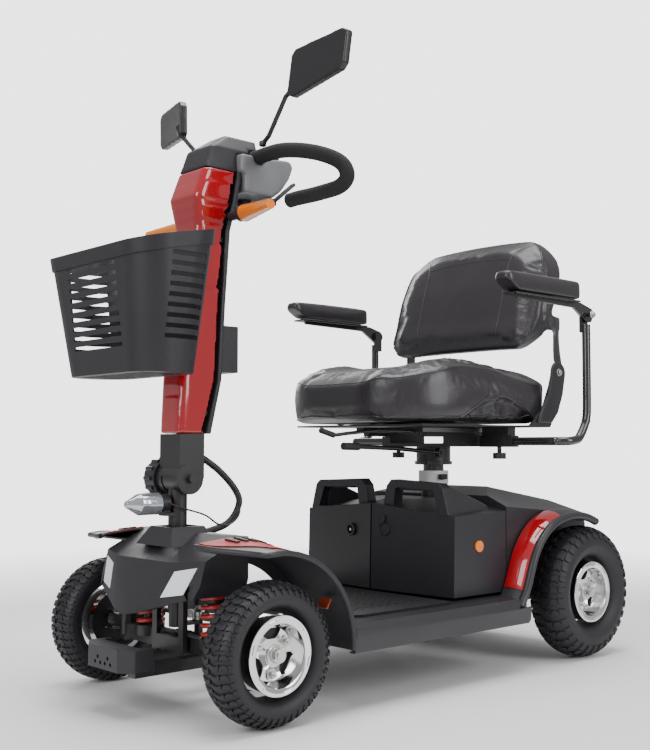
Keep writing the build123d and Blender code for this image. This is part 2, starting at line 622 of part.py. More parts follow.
def battery_pack():
    """Left battery pack: case with a swept front and sloping roof, round the seat tower, and an arched handle."""
    x0, x1 = PACK_X
    planes = [
        ((0, 72, 200), (0, 76, 353), (x1, 91, 200)),
        ((20, 76, 353), (x1, 94, 334), (170, 230, 364)),
        ((x1, 92, 334), (150, 86, 350), (x1, 262, 340)),
    ]
    case = faceted(PACK_X, PACK_Y, PACK_Z, planes)
    frame = front_prism(HANDLE, HANDLE_Y) - front_prism(HANDLE_WINDOW, (80, 130))
    foot = block((x0 + 20, x1 - 40), (PACK_Y[0] + 50, PACK_Y[1] - 40), (DECK_Z + SEATED, PACK_Z[0] + 1))
    return fused(case, frame, foot) - rod((0, POST_Y, 100), (0, POST_Y, 500), POST_TUBE_R + 4)


def charge_cap():
    """Round cap with a turning slot, on the front of the left pack."""
    cap = rod((40, 77.2, 299), (40, 72, 299), 13)
    return cap - block((30, 50), (60, 73.5), (297.5, 300.5))


def charge_socket():
    """Round socket with its pin, on the front of the right pack."""
    ring = pipe((-66, 79, 293), (-66, 73, 293), 14, 9)
    return Compound(children=[*solids_of(ring), *solids_of(rod((-66, 79, 293), (-66, 74, 293), 3))])


def side_reflector():
    """Amber reflector disc on the side of the left pack."""
    return rod((PACK_X[1] + SEATED, 169, 269), (PACK_X[1] + 4, 169, 269), 12)


write("battery_left", battery_pack(), charge_cap(), side_reflector())
write("battery_right", mirrored(battery_pack()), charge_socket(), mirrored(side_reflector()))

# ---------------------------------------------------------------- seat
SWIVEL_Z = 446.0
SLIDE_X = (84.0, 100.0)
SLIDE_Z = (504.0, 512.0)
PAN_Z = (524.0, 528.0)
CUSHION_X = 224.0
CUSHION_CORNER = 165.0          # plan radius of the cushion's front corners
BACK_CORNER = 75.0              # radius of the backrest's corners
HINGE = (452.0, 651.0)          # backrest hinge, (y, z)
ARM_X = 335.0
ARM_PIVOT = (425.0, 773.5)      # armrest pivot, (y, z)
RECEIVER_Y = 329.0
RECEIVER_Z = 492.0
ARM_BAR = 16.0


def seat_post():
    """Telescopic post with a flange and the spigot that the seat turns on."""
    return fused(
        rod((0, POST_Y, 146 + SEATED), (0, POST_Y, SWIVEL_Z), POST_R),
        rod((0, POST_Y, SWIVEL_Z - 8), (0, POST_Y, SWIVEL_Z), 44),
        rod((0, POST_Y, SWIVEL_Z), (0, POST_Y, 486), 12),
    )


def seat_swivel():
    """Turntable: sleeve, cross plate, the two lower slide rails and the lever's bracket."""
    z = SWIVEL_Z + SEATED
    body = fused(
        rod((0, POST_Y, z), (0, POST_Y, 480), 40),
        block((-SLIDE_X[1], SLIDE_X[1]), (POST_Y - 60, POST_Y + 60), (480, 488)),
    )
    for side in (1, -1):
        x = sorted((side * SLIDE_X[0], side * SLIDE_X[1]))
        body = fused(body, block(x, (POST_Y - 60, POST_Y + 60), (486, SLIDE_Z[1])),
                     block(x, (150, 410), SLIDE_Z))
    body = fused(body, block((40, 46), (238, 262), (456, 484)), rod((40, 249, 466), (58, 249, 466), 4))
    return body - rod((0, POST_Y, z - 2), (0, POST_Y, 487), 12 + RUNNING)


def seat_frame():
    """Seat pan with the upper slide rails, armrest receivers with clamp knobs, and the backrest hinge plates."""
    body = block((-200, 200), (30, 425), PAN_Z)
    body = fused(body, block((-232, 232), (345, 425), PAN_Z))
    for side in (1, -1):
        rail = sorted((side * (SLIDE_X[0] - 4), side * (SLIDE_X[1] + 4)))
        plate = [(345, 524), (425, 524), (446, 560), (466, 645), (462, 666), (440, 664), (425, 620), (395, 560)]
        x = sorted((side * 226.5, side * 232))
        box = sorted((side * 112, side * 205))
        body = fused(
            body,
            block(rail, (130, 430), (SLIDE_Z[1] + SEATED, PAN_Z[0] + 1)),
            side_prism(plate, x),
            rod((side * 228, *HINGE), (side * 243, *HINGE), 6),
            block(box, (RECEIVER_Y - 13, RECEIVER_Y + 13), (RECEIVER_Z - 13, RECEIVER_Z + 13)),
            block(sorted((side * 120, side * 196)), (RECEIVER_Y - 13, RECEIVER_Y + 13), (RECEIVER_Z + 10, PAN_Z[0] + 1)),
            rod((side * 160, RECEIVER_Y, 462), (side * 160, RECEIVER_Y, RECEIVER_Z - 11), 5),
            rod((side * 160, RECEIVER_Y, 452), (side * 160, RECEIVER_Y, 466), 15),
        )
        hole = ARM_BAR / 2 + RUNNING
        body = body - block(sorted((side * 110, side * 210)), (RECEIVER_Y - hole, RECEIVER_Y + hole),
                            (RECEIVER_Z - hole, RECEIVER_Z + hole))
    return body


def seat_cushion():
    """Thick upholstered cushion with a rounded nose."""
    side = [(-30, PAN_Z[1] + SEATED), (405, PAN_Z[1] + SEATED), (432, 580), (443, 626), (430, 640), (300, 655),
            (153, 668), (40, 657), (-30, 640), (-54, 610), (-56, 560)]
    body = side_prism(side, (-CUSHION_X, CUSHION_X))
    body = chamfer(body.edges().filter_by(lambda e: abs(abs(e.center().X) - CUSHION_X) < 0.1), 12)
    plan = Pos(0, 344, 500) * RectangleRounded(2 * CUSHION_X, 800, CUSHION_CORNER)
    return body & extrude(plan, 300)


def seat_back():
    """Upholstered backrest with a hinge ear at each side."""
    side = [(352, 705), (366, 697), (392, 702), (425, 735), (452, 770), (482, 835), (497, 912), (494, 962), (480, 984),
            (458, 984), (432, 955), (400, 860), (378, 780)]
    body = side_prism(side, (-234, 234))
    body = chamfer(body.edges().filter_by(lambda e: abs(abs(e.center().X) - 234) < 0.1), 12)
    face = Plane(origin=(0, 300, 840), x_dir=(1, 0, 0), z_dir=(0, 1, 0)) * RectangleRounded(468, 290, BACK_CORNER)
    body = body & extrude(face, 300, dir=(0, 1, 0))
    for s in (1, -1):
        ear = [(440, 640), (464, 640), (470, 660), (478, 780), (440, 780), (428, 700)]
        body = fused(body, side_prism(ear, sorted((s * 232.3, s * 238))))
    return body - rod((-250, *HINGE), (250, *HINGE), 6 + RUNNING)


def arm_bar():
    """Square bar out of the receiver, swept back and up to the armrest pivot."""
    t = ARM_BAR
    inner, corner, heel = (120, RECEIVER_Y, RECEIVER_Z), (ARM_X - 20, RECEIVER_Y, RECEIVER_Z), \
        (ARM_X, RECEIVER_Y + 30, RECEIVER_Z)
    foot, knee, top = (ARM_X, 385, RECEIVER_Z + 4), (ARM_X, 418, RECEIVER_Z + 45), (ARM_X, 421, 745)
    body = bar(inner, corner, t, t)
    for a, b in ((corner, heel), (heel, foot), (foot, knee), (knee, top)):
        body = fused(body, rod(a, b, t / 2))
    for p in (corner, heel, foot, knee):
        body = fused(body, Pos(*p) * Sphere(t / 2 + 0.4))
    cheek = rod((ARM_X - 12, *ARM_PIVOT), (ARM_X - 4, *ARM_PIVOT), 13)
    cheek = fused(cheek, block((ARM_X - 12, ARM_X - 4), (412, 434), (735, ARM_PIVOT[1])))
    pin = rod((ARM_X - 12, *ARM_PIVOT), (ARM_X + 14, *ARM_PIVOT), 5)
    return fused(body, cheek, pin)


def armrest():
    """Armrest: steel plate on the pivot with a long padded rest."""
    y, z = ARM_PIVOT
    plate = [(y + 16, z - 14), (y + 16, z + 10), (y - 10, z + 24), (120, 812), (120, 795), (y - 60, z - 6), (y, z - 16)]
    body = side_prism(plate, (ARM_X - 3.4, ARM_X + 4))
    pad = block((ARM_X - 26, ARM_X + 26), (118, 382), (811, 846))
    pad = fillet(pad.edges().filter_by(Axis.Z), 18)
    pad = fillet(pad.edges().group_by(Axis.Z)[-1], 10)
    return fused(body, pad) - rod((ARM_X - 20, y, z), (ARM_X + 30, y, z), 5 + RUNNING)


def swivel_lever():
    """Long lever under the front of the seat that frees the turntable."""
    body = fused(rod((46.3, 249, 466), (56, 249, 466), 11), rod((52, 249, 466), (56, 100, 476), 5),
                 rod((56, 100, 476), (60, -20, 480), 5), Pos(56, 100, 476) * Sphere(5.3),
                 rod((60, -20, 480), (61, -66, 481), 8))
    return body - rod((40, 249, 466), (70, 249, 466), 4 + RUNNING)


def slide_lever():
    """Lever that frees the seat slide: forward from the inside of the left upper rail, bent down and up at its end."""
    line = [(73, 150, 514), (71, 20, 515), (67, -60, 508), (65, -96, 504), (64, -132, 514)]
    x = SLIDE_X[0] - 4 - SEATED - 7.2
    body = rod((x, 150, 508), (x, 150, 520), 7.2)
    for a, b in zip(line, line[1:]):
        body = fused(body, rod(a, b, 4), Pos(*b) * Sphere(4.3))
    return fused(body, rod(line[-2], line[-1], 6))


write("seat_post", seat_post())
write("seat_swivel", seat_swivel())
write("seat_frame", seat_frame())
write("seat_cushion", seat_cushion())
write("seat_back", seat_back())
write("arm_bar_left", arm_bar())
write("arm_bar_right", mirrored(arm_bar()))
write("armrest_left", armrest())
write("armrest_right", mirrored(armrest()))
write("swivel_lever", swivel_lever())
write("slide_lever", slide_lever())

# ---------------------------------------------------------------- steering stem and tiller
TILT_Y = -437.0
HUB_TILT_R = 28.0
EAR_X = (19.3, 36.0)
TUBE_R = 14.0
HANDLE_R = 14.6
# tiller stations: z, front face y, seam y, rear face y, half width
STATIONS = [
    (505, -464, -400, -388, 36), (610, -458, -376, -365, 38), (760, -443, -368, -357, 38),
    (905, -428, -361, -350, 43), (965, -437, -350, -339, 52), (1022, -416, -338, -327, 50),
]


def steering_stem():
    """Steering shaft with pitman arm, upper tube, tilt hub, its long pin and the lamp bracket."""
    arm_end = (0, STEM_Y + ARM_LENGTH)
    arm_top = ARM_Z[1] - ROCK_ROOM
    body = fused(
        rod((0, STEM_Y, ARM_Z[0]), (0, STEM_Y, HEAD_TUBE_Z[1] + SEATED), STEM_SHAFT_R),
        rod((0, STEM_Y, HEAD_TUBE_Z[1] + SEATED), (0, STEM_Y, TILT_Z), 18),
        rod((0, STEM_Y, ARM_Z[0]), (0, STEM_Y, HEAD_TUBE_Z[0] - SEATED), 15),
        block((-9, 9), (STEM_Y, arm_end[1]), (ARM_Z[0], arm_top)),
        rod((*arm_end, ARM_Z[0]), (*arm_end, arm_top), 9),
        rod((*arm_end, ARM_Z[0]), (*arm_end, ROD_Z[1] * 2 - ROD_Z[0] + 5), LINK_PIN_R),
        rod((-19, TILT_Y, TILT_Z), (19, TILT_Y, TILT_Z), HUB_TILT_R),
        rod((-74, TILT_Y, TILT_Z), (46, TILT_Y, TILT_Z), 8),
        block((-12, 12), (-476, STEM_Y), (350, 356)),
    )
    return body


def headlight():
    """Lamp with a faceted lens, pointing forward from the stem."""
    profile = [(0, -466), (17, -466), (17, -484), (21, -487), (21, -528), (6, -556), (0, -557)]
    turned = make_face(Polyline(*[(r, y, 0) for r, y in profile], close=True))
    body = Pos(0, 0, 374) * revolve(turned, Axis.Y)
    return fused(body, block((-10, 10), (-476, -464), (356 + SEATED, 362)))


def tilt_knob():
    """Toothed hand wheel on the right end of the tilt pin."""
    knob = rod((-70, TILT_Y, TILT_Z), (EAR_X[1] * -1 - 0.5, TILT_Y, TILT_Z), 36)
    for k in range(12):
        a = radians(30 * k)
        y, z = TILT_Y + 36 * cos(a), TILT_Z + 36 * sin(a)
        knob = fused(knob, rod((-66, y, z), (-44, y, z), 4.5))
    return knob - rod((-80, TILT_Y, TILT_Z), (0, TILT_Y, TILT_Z), 8 + RUNNING)


def station_loft(front, back, inset, z=(STATIONS[0][0], STATIONS[-1][0])):
    """A ruled body through the tiller's stations; front and back pick the station's column for each face."""
    faces = []
    for row in STATIONS:
        half = row[4] - inset
        y0, y1 = row[front[0]] + front[1], row[back[0]] + back[1]
        r = min(14.0, (y1 - y0) / 2 - 1)
        outline = RectangleRounded(2 * half, y1 - y0, max(2.0, r - inset))
        faces.append(Pos(0, (y0 + y1) / 2, row[0]) * outline)
    whole = loft(faces, ruled=True)
    return whole & block((-90, 90), (-520, -280), z)


def tiller_column():
    """Fork on the tilt hub, neck, and the tube inside the shells with its two spacers."""
    body = fused(
        rod((-EAR_X[1], TILT_Y, TILT_Z), (EAR_X[1], TILT_Y, TILT_Z), 30),
        block((-34, 34), (-460, -404), (TILT_Z, 504.7)),
    )
    body = body - rod((-EAR_X[0], TILT_Y, TILT_Z), (EAR_X[0], TILT_Y, TILT_Z), HUB_TILT_R + 1.5)
    body = body - block((-EAR_X[0], EAR_X[0]), (-475, -400), (TILT_Z - 40, TILT_Z + 5))
    body = body - rod((-80, TILT_Y, TILT_Z), (80, TILT_Y, TILT_Z), 8 + RUNNING)
    tube = rod((0, -432, 475), (0, -386, 1000), TUBE_R)
    for z in (540, 880):
        spacer = station_loft((1, WALL + 0.3), (2, -0.3), WALL + 0.3, (z, z + 8))
        tube = fused(tube, spacer)
    return fused(body, tube)


def tiller_front():
    """Gloss front shell of the tiller."""
    outer = station_loft((1, 0), (2, 0), 0)
    inner = station_loft((1, WALL), (2, 3), WALL, (STATIONS[0][0] + WALL, STATIONS[-1][0] - WALL))
    tube = rod((0, -432, 475), (0, -386, 1000), TUBE_R + 1)
    return outer - inner - tube


def tiller_rear():
    """Black rear cover of the tiller."""
    outer = station_loft((2, 0.3), (3, 0), 1)
    return outer


def tiller_head():
    """Head cap over the top of the tiller."""
    z = STATIONS[-1][0] + SEATED
    low = [(-46, -414), (46, -414), (46, -340), (-46, -340)]
    mid = [(-42, -398), (42, -398), (42, -280), (-42, -280)]
    top = [(-26, -352), (26, -352), (26, -276), (-26, -276)]
    body = loft([plan_face(low, z), plan_face(mid, 1068), plan_face(top, 1099)], ruled=True)
    return body - rod((-80, -291, 1060), (80, -291, 1060), HANDLE_R + 0.9) - block((-61, 61), (-337, -100), (900, 1060))


def console():
    """Control console that overhangs the rider's side of the head."""
    side = [(-336.7, 984), (-258, 980), (-236, 996), (-205, 1030), (-192, 1056), (-204, 1068), (-262, 1059.7),
            (-336.7, 1059.7)]
    body = side_prism(side, (-60, 60))
    corner = [(40, -170), (70, -170), (70, -242), (62, -242)]
    body = body - plan_prism(corner, (960, 1090)) - mirrored(plan_prism(corner, (960, 1090)))
    body = body - rod((-80, -291, 1060), (80, -291, 1060), HANDLE_R + 0.9)
    return body - block((-90, 90), (-345, -326), (960, STATIONS[-1][0] + 0.5))


LOOP = [(0, -291, 1060), (52, -291, 1060), (100, -298, 1057.5), (150, -304, 1052), (204, -288, 1042),
        (244, -262, 1026), (263, -250, 1008), (266, -246, 988), (250, -246, 975), (224, -247, 971),
        (170, -248, 970), (102, -249, 970)]


def handlebar():
    """Round delta handlebar: a loop at each side, through the head."""
    right = [(-x, y, z) for x, y, z in LOOP[:0:-1]]
    path = Spline(*right, *LOOP)
    return sweep(Plane(origin=path @ 0, z_dir=path % 0) * Circle(HANDLE_R), path=path)


def throttle_lever():
    """Wigwag lever under the console with a paddle at each end."""
    body = block((-76, 76), (-276, -262), (962, 975))
    body = fused(body, rod((0, -285, 962), (0, -285, 980.3), 14), block((-10, 10), (-285, -262), (962, 975)))
    for side in (1, -1):
        body = fused(body, bar((side * 72, -266, 970), (side * 76, -217, 1012), 12, 6))
    return body


def speed_dial():
    return fused(rod((24, -228, 1067), (24, -228, 1080), 12), rod((24, -228, 1079), (24, -228, 1084), 9))


def ignition_key():
    return fused(rod((-26, -226, 1066.6), (-26, -226, 1072), 8), block((-28, -24), (-234, -218), (1071, 1092)))


def signal_stalk():
    """Short rubber stalk of the left turn signal."""
    return fused(rod((47.6, -355, 931), (84, -355, 931), 9), rod((80, -355, 931), (94, -355, 931), 15))


def signal_lens():
    """Tapering amber lens of the left turn signal."""
    base = Plane(origin=(94.3, -355, 931), x_dir=(0, 1, 0), z_dir=(1, 0, 0))
    tip = Plane(origin=(203, -380, 927), x_dir=(0, 1, 0), z_dir=(1, 0, 0))
    return loft([base * Ellipse(19, 17), tip * Ellipse(11, 9)])


def accessory_box():
    """Thin box on the back of the tiller."""
    return block((-26, 26), (-374, -318), (626, 718)) - station_loft((1, 0), (3, 0.3), 0)


MIRROR_FOOT_R = 7.5         # round foot that turns on the handlebar


def mirror_unit(side):
    """Round stem and a rectangular mirror head; the right one stands further forward and is turned further in."""
    if side > 0:
        stem = [(80, -301, 1076.5), (100, -301, 1092), (150, -300, 1158), (172, -300, 1170)]
        head = [(160, 1158), (174, 1232), (186, 1242), (318, 1246), (332, 1238), (322, 1180), (310, 1170), (176, 1150)]
        y = -300
    else:
        stem = [(-80, -301, 1076.5), (-99, -340, 1096), (-118, -362, 1130), (-130, -362, 1150)]
        head = [(-106, 1130), (-110, 1190), (-122, 1202), (-262, 1212), (-274, 1202), (-268, 1142), (-256, 1132),
                (-120, 1122)]
        y = -362
    turn = 0 if side > 0 else 18.5
    foot_x, foot_y, foot_z = stem[0]
    body = fused(rod((foot_x, foot_y, foot_z - 2.5), (foot_x, foot_y, foot_z + 9), MIRROR_FOOT_R),
                 rod((foot_x, foot_y, foot_z + 3), stem[1], 5))
    for a, b in zip(stem[1:], stem[2:]):
        body = fused(body, Pos(*a) * Sphere(5.2), rod(a, b, 5))
    face = make_face(Polyline(*[(x, y - 7, z) for x, z in head], close=True))
    case = extrude(face, 16, dir=(0, 1, 0))
    pivot = Pos(head[0][0], y, 0)
    return fused(body, pivot * Rot(0, 0, -turn) * pivot.inverse() * case)


write("steering_stem", steering_stem())
write("headlight", headlight())
write("tilt_knob", tilt_knob())
write("tiller_front", tiller_front())
write("tiller_rear", tiller_rear())
write("tiller_head", tiller_head())
write("console", console())
write("handlebar", handlebar())
write("throttle_lever", throttle_lever())
write("speed_dial", speed_dial())
write("ignition_key", ignition_key())
write("turn_signals", pair(signal_stalk()), pair(signal_lens()))
write("accessory_box", accessory_box())
write("mirror_left", mirror_unit(1))
write("mirror_right", mirror_unit(-1))

# ---------------------------------------------------------------- basket
BASKET_RIM_Z = 873.0            # rim height at its back
BASKET_SLOPE = 11.3             # degrees that the rim falls towards the front
BASKET_BOTTOM_Z = 612.0
BASKET_TOP = (188.0, -645.0, -467.0)        # half width, front y, back y at rim height
BASKET_BOTTOM = (152.0, -612.0, -484.0)
BASKET_CORNER = 62.0
BAND = 26.0
SLOT_PITCH = 18.0
SLOT_COUNT = 9


def basket_face(inset, t):
    """Rounded plan of the basket at a height fraction, 0 at the bottom and 1 at rim height."""
    half, y0, y1 = (b + (a - b) * t for a, b in zip(BASKET_TOP, BASKET_BOTTOM))
    z = BASKET_BOTTOM_Z + (BASKET_RIM_Z - BASKET_BOTTOM_Z) * t
    outline = RectangleRounded(2 * (half - inset), y1 - y0 - 2 * inset, BASKET_CORNER - inset)
    return Pos(0, (y0 + y1) / 2, z) * outline


def below_rim(shape, drop):
    """What of a shape lies below the sloping rim plane, lowered by drop."""
    tilt = Vector(0, -sin(radians(BASKET_SLOPE)), cos(radians(BASKET_SLOPE)))
    return split(shape, bisect_by=Plane(origin=(0, BASKET_TOP[2], BASKET_RIM_Z - drop), z_dir=tilt),
                 keep=Keep.BOTTOM)


def basket():
    """Moulded basket with a rim band, slots in three walls and a slatted floor; its rim falls towards the front."""
    outer = loft([basket_face(0, 0), basket_face(0, 1)])
    inner = loft([Pos(0, 0, WALL) * basket_face(WALL, 0), Pos(0, 0, WALL) * basket_face(WALL, 1)])
    wide = loft([basket_face(-3.5, 0), basket_face(-3.5, 1)])
    band = below_rim(wide, 0) - below_rim(wide, BAND)
    body = fused(below_rim(outer, 0.5), band) - inner
    for k in range(SLOT_COUNT):
        z = 662 + SLOT_PITCH * k
        z_side = z + 12
        body = body - block((-84, 84), (-660, -560), (z - 4, z + 4))
        body = body - block((-220, 220), (-578, -502), (z_side - 4, z_side + 4))
    for k in range(-4, 5):
        x = 25 * k
        body = body - block((x - 8, x + 8), (-592, -504), (600, 640))
    return body


def basket_bracket():
    """Hook plate on the front of the tiller that the basket slides down onto."""
    plate = block((-28, 28), (-482, -430), (742, 836))
    back = station_loft((1, -0.3), (2, 0), -0.3)
    front = loft([basket_face(-0.3, 0), basket_face(-0.3, 1)])
    return plate - back - front


write("basket", basket())
write("tiller_column", tiller_column(), basket_bracket())

# ---------------------------------------------------------------- leads
CONDUIT = [(10, -403.5, 466), (10, -352, 434), (10, -312, 396), (10, -302, 366), (10, -330, 330), (10, -391.5, 313)]
LAMP_LEAD = [(19.2, -472, 374), (26, -445, 364), (32, -400, 350), (32, -368, 331), (30, -338, 330), (26, -312, 352),
             (24, -320, 392)]


def lead(points, radius, ends=None):
    """A round lead through its points; it leaves along +Y when it has an end direction."""
    path = Spline(*points, tangents=[(0, 1, 0), ends]) if ends else Spline(*points)
    return sweep(Plane(origin=path @ 0, z_dir=path % 0) * Circle(radius), path=path)


write("wiring_conduit", lead(CONDUIT, 7.0, (0, -1, 0)))
write("lamp_lead", lead(LAMP_LEAD, 1.8))
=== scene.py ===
"""Four-wheel mobility scooter, in metres. Its front faces -Y and the rider's left is +X."""

import math

import bmesh
import bpy
from mathutils import Matrix, Vector
from mathutils.bvhtree import BVHTree


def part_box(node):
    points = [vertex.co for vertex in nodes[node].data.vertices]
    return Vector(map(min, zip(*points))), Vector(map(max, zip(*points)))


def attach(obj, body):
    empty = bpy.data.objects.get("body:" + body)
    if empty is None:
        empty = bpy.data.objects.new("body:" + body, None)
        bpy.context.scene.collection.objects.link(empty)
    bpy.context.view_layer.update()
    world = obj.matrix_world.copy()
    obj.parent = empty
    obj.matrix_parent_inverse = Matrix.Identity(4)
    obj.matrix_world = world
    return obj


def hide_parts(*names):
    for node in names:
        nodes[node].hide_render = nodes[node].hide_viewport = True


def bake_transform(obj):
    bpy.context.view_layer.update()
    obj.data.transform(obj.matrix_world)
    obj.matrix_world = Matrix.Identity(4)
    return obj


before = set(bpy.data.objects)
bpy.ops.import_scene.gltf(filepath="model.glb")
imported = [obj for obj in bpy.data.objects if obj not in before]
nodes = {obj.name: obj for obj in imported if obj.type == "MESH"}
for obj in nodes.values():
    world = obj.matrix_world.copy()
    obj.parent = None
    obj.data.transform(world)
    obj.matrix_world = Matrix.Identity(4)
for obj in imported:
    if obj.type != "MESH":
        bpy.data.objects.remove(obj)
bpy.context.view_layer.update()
MM = 0.001
SHIFT = -2.0                # the lengths along Y given here start 2 mm behind the frame's origin


def ramp(value, low, high):
    """0 below low, 1 above high, smooth between."""
    t = min(1.0, max(0.0, (value - low) / (high - low)))
    return t * t * (3 - 2 * t)


def at(x, y, z):
    """A point in metres from millimetres taken on the scooter."""
    return Vector((x * MM, (y + SHIFT) * MM, z * MM))


# ---------------------------------------------------------------- floor deck
# The floor is one textured black moulding with a rounded sill at each side. A ribbed rubber mat lies on it.

def node_group(name, outputs, inputs):
    """An empty shader group with float inputs and the named outputs."""
    group = bpy.data.node_groups.new(name, "ShaderNodeTree")
    for label in outputs:
        group.interface.new_socket(label, in_out="OUTPUT", socket_type="NodeSocketFloat")
    for label, value in inputs:
        socket = group.interface.new_socket(label, in_out="INPUT", socket_type="NodeSocketFloat")
        socket.default_value = value
    return group, group.nodes.new("NodeGroupInput"), group.nodes.new("NodeGroupOutput")


def mould_grain():
    """Fine pebbled grain of moulded plastic: Height, and a Tone that drifts slowly over the surface."""
    group, source, sink = node_group("mould_grain", ("Height", "Tone"), (("Scale", 900.0), ("Drift", 6.0)))
    place = group.nodes.new("ShaderNodeTexCoord")
    pebbles = group.nodes.new("ShaderNodeTexVoronoi")
    pebbles.feature = "SMOOTH_F1"
    drift = group.nodes.new("ShaderNodeTexNoise")
    drift.inputs["Detail"].default_value = 4.0
    for texture, scale in ((pebbles, "Scale"), (drift, "Drift")):
        group.links.new(place.outputs["Object"], texture.inputs["Vector"])
        group.links.new(source.outputs[scale], texture.inputs["Scale"])
    group.links.new(pebbles.outputs["Distance"], sink.inputs["Height"])
    group.links.new(drift.outputs["Fac"], sink.inputs["Tone"])
    return group


def settled_dust():
    """Mask of the light dust that lies on upward faces and in broken patches: Mask from 0 to 1."""
    group, source, sink = node_group("settled_dust", ("Mask",), (("Amount", 0.2),))
    shape = group.nodes.new("ShaderNodeNewGeometry")
    up = group.nodes.new("ShaderNodeSeparateXYZ")
    group.links.new(shape.outputs["Normal"], up.inputs["Vector"])
    place = group.nodes.new("ShaderNodeTexCoord")
    patches = group.nodes.new("ShaderNodeTexNoise")
    patches.inputs["Scale"].default_value = 14.0
    patches.inputs["Detail"].default_value = 6.0
    group.links.new(place.outputs["Object"], patches.inputs["Vector"])
    mask = up.outputs["Z"]
    for operation, factor in (("MAXIMUM", None), ("MULTIPLY", patches.outputs["Fac"]),
                              ("MULTIPLY", source.outputs["Amount"])):
        step = group.nodes.new("ShaderNodeMath")
        step.operation = operation
        step.inputs[1].default_value = 0.0
        group.links.new(mask, step.inputs[0])
        if factor:
            group.links.new(factor, step.inputs[1])
        mask = step.outputs["Value"]
    group.links.new(mask, sink.inputs["Mask"])
    return group


GRAIN = mould_grain()
DUST = settled_dust()


def finish(name, colour, rough, metal=0.0, grain=0.0, grain_scale=900.0, dust=0.0, coat=0.0, spread=0.06,
           specular=0.5):
    """A material for one of the scooter's finishes, with its grain, its drift in gloss, and settled dust."""
    material = bpy.data.materials.new(name)
    material.use_nodes = True
    tree = material.node_tree
    shader = tree.nodes["Principled BSDF"]
    shader.inputs["Metallic"].default_value = metal
    shader.inputs["Coat Weight"].default_value = coat
    shader.inputs["Coat Roughness"].default_value = 0.04
    shader.inputs["Specular IOR Level"].default_value = specular
    texture = tree.nodes.new("ShaderNodeGroup")
    texture.node_tree = GRAIN
    texture.inputs["Scale"].default_value = grain_scale
    gloss = tree.nodes.new("ShaderNodeMapRange")
    gloss.inputs["To Min"].default_value = max(0.02, rough - spread)
    gloss.inputs["To Max"].default_value = min(1.0, rough + spread)
    gloss.inputs["From Min"].default_value = 0.3
    gloss.inputs["From Max"].default_value = 0.7
    tree.links.new(texture.outputs["Tone"], gloss.inputs["Value"])
    tree.links.new(gloss.outputs["Result"], shader.inputs["Roughness"])
    powder = tree.nodes.new("ShaderNodeGroup")
    powder.node_tree = DUST
    powder.inputs["Amount"].default_value = dust
    blend = tree.nodes.new("ShaderNodeMix")
    blend.data_type = "RGBA"
    blend.inputs["A"].default_value = (*colour, 1.0)
    blend.inputs["B"].default_value = (0.32, 0.31, 0.3, 1.0)
    tree.links.new(powder.outputs["Mask"], blend.inputs["Factor"])
    tree.links.new(blend.outputs["Result"], shader.inputs["Base Color"])
    if grain:
        bump = tree.nodes.new("ShaderNodeBump")
        bump.inputs["Strength"].default_value = grain
        bump.inputs["Distance"].default_value = 0.0006
        tree.links.new(texture.outputs["Height"], bump.inputs["Height"])
        tree.links.new(bump.outputs["Normal"], shader.inputs["Normal"])
    return material


def soften(piece, width, angle=32):
    """Rounds a piece's hard edges, as a moulding or a folded plate has them."""
    for polygon in piece.data.polygons:
        polygon.use_smooth = True
    weld = piece.modifiers.new("joined faces", "WELD")
    weld.merge_threshold = 0.00002
    bevel = piece.modifiers.new("rounded edges", "BEVEL")
    bevel.width = width * MM
    bevel.segments = 3
    bevel.limit_method = "ANGLE"
    bevel.angle_limit = math.radians(angle)
    bevel.harden_normals = True
    normals = piece.modifiers.new("even shading", "WEIGHTED_NORMAL")
    normals.keep_sharp = True
    return piece


def dress(node, material, width=1.0, angle=32):
    """Gives a frame node its finish and its rounded edges."""
    piece = nodes[node]
    piece.data.materials.clear()
    piece.data.materials.append(material)
    return soften(piece, width, angle)


def mould_round(piece, voxel, passes):
    """Turns a piece's hard facets into the soft rounded form of a moulded shell."""
    skin = piece.modifiers.new("one skin", "REMESH")
    skin.mode = "VOXEL"
    skin.voxel_size = voxel
    skin.use_smooth_shade = True
    relax = piece.modifiers.new("rounded form", "SMOOTH")
    relax.factor = 0.5
    relax.iterations = passes


def placed(name, data):
    """A new object in the scene."""
    thing = bpy.data.objects.new(name, data)
    bpy.context.scene.collection.objects.link(thing)
    return thing


def new_piece(name, shape, material, body, smooth=True):
    """A mesh object from a bmesh, with its finish. It rides on a body, if one is given."""
    mesh = bpy.data.meshes.new(name)
    bmesh.ops.recalc_face_normals(shape, faces=shape.faces[:])
    shape.to_mesh(mesh)
    shape.free()
    mesh.materials.append(material)
    for polygon in mesh.polygons:
        polygon.use_smooth = smooth
    piece = placed(name, mesh)
    if body:
        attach(piece, body)
    return piece


def skin_rings(shape, rings, closed=True, caps=False):
    """Joins rings of vertices by faces. A closed ring meets itself, and caps close both ends."""
    count = len(rings[0])
    for a, b in zip(rings, rings[1:]):
        for k in range(count if closed else count - 1):
            n = (k + 1) % count
            shape.faces.new((a[k], a[n], b[n], b[k]))
    if caps:
        shape.faces.new(rings[0])
        shape.faces.new(rings[-1][::-1])


def add_block(shape, low, high):
    """Adds a box between two corners, in metres."""
    size = [b - a for a, b in zip(low, high)]
    middle = [(a + b) / 2 for a, b in zip(low, high)]
    made = bmesh.ops.create_cube(shape, size=1.0)["verts"]
    for vert in made:
        vert.co = Vector([c * s + m for c, s, m in zip(vert.co, size, middle)])
    return made


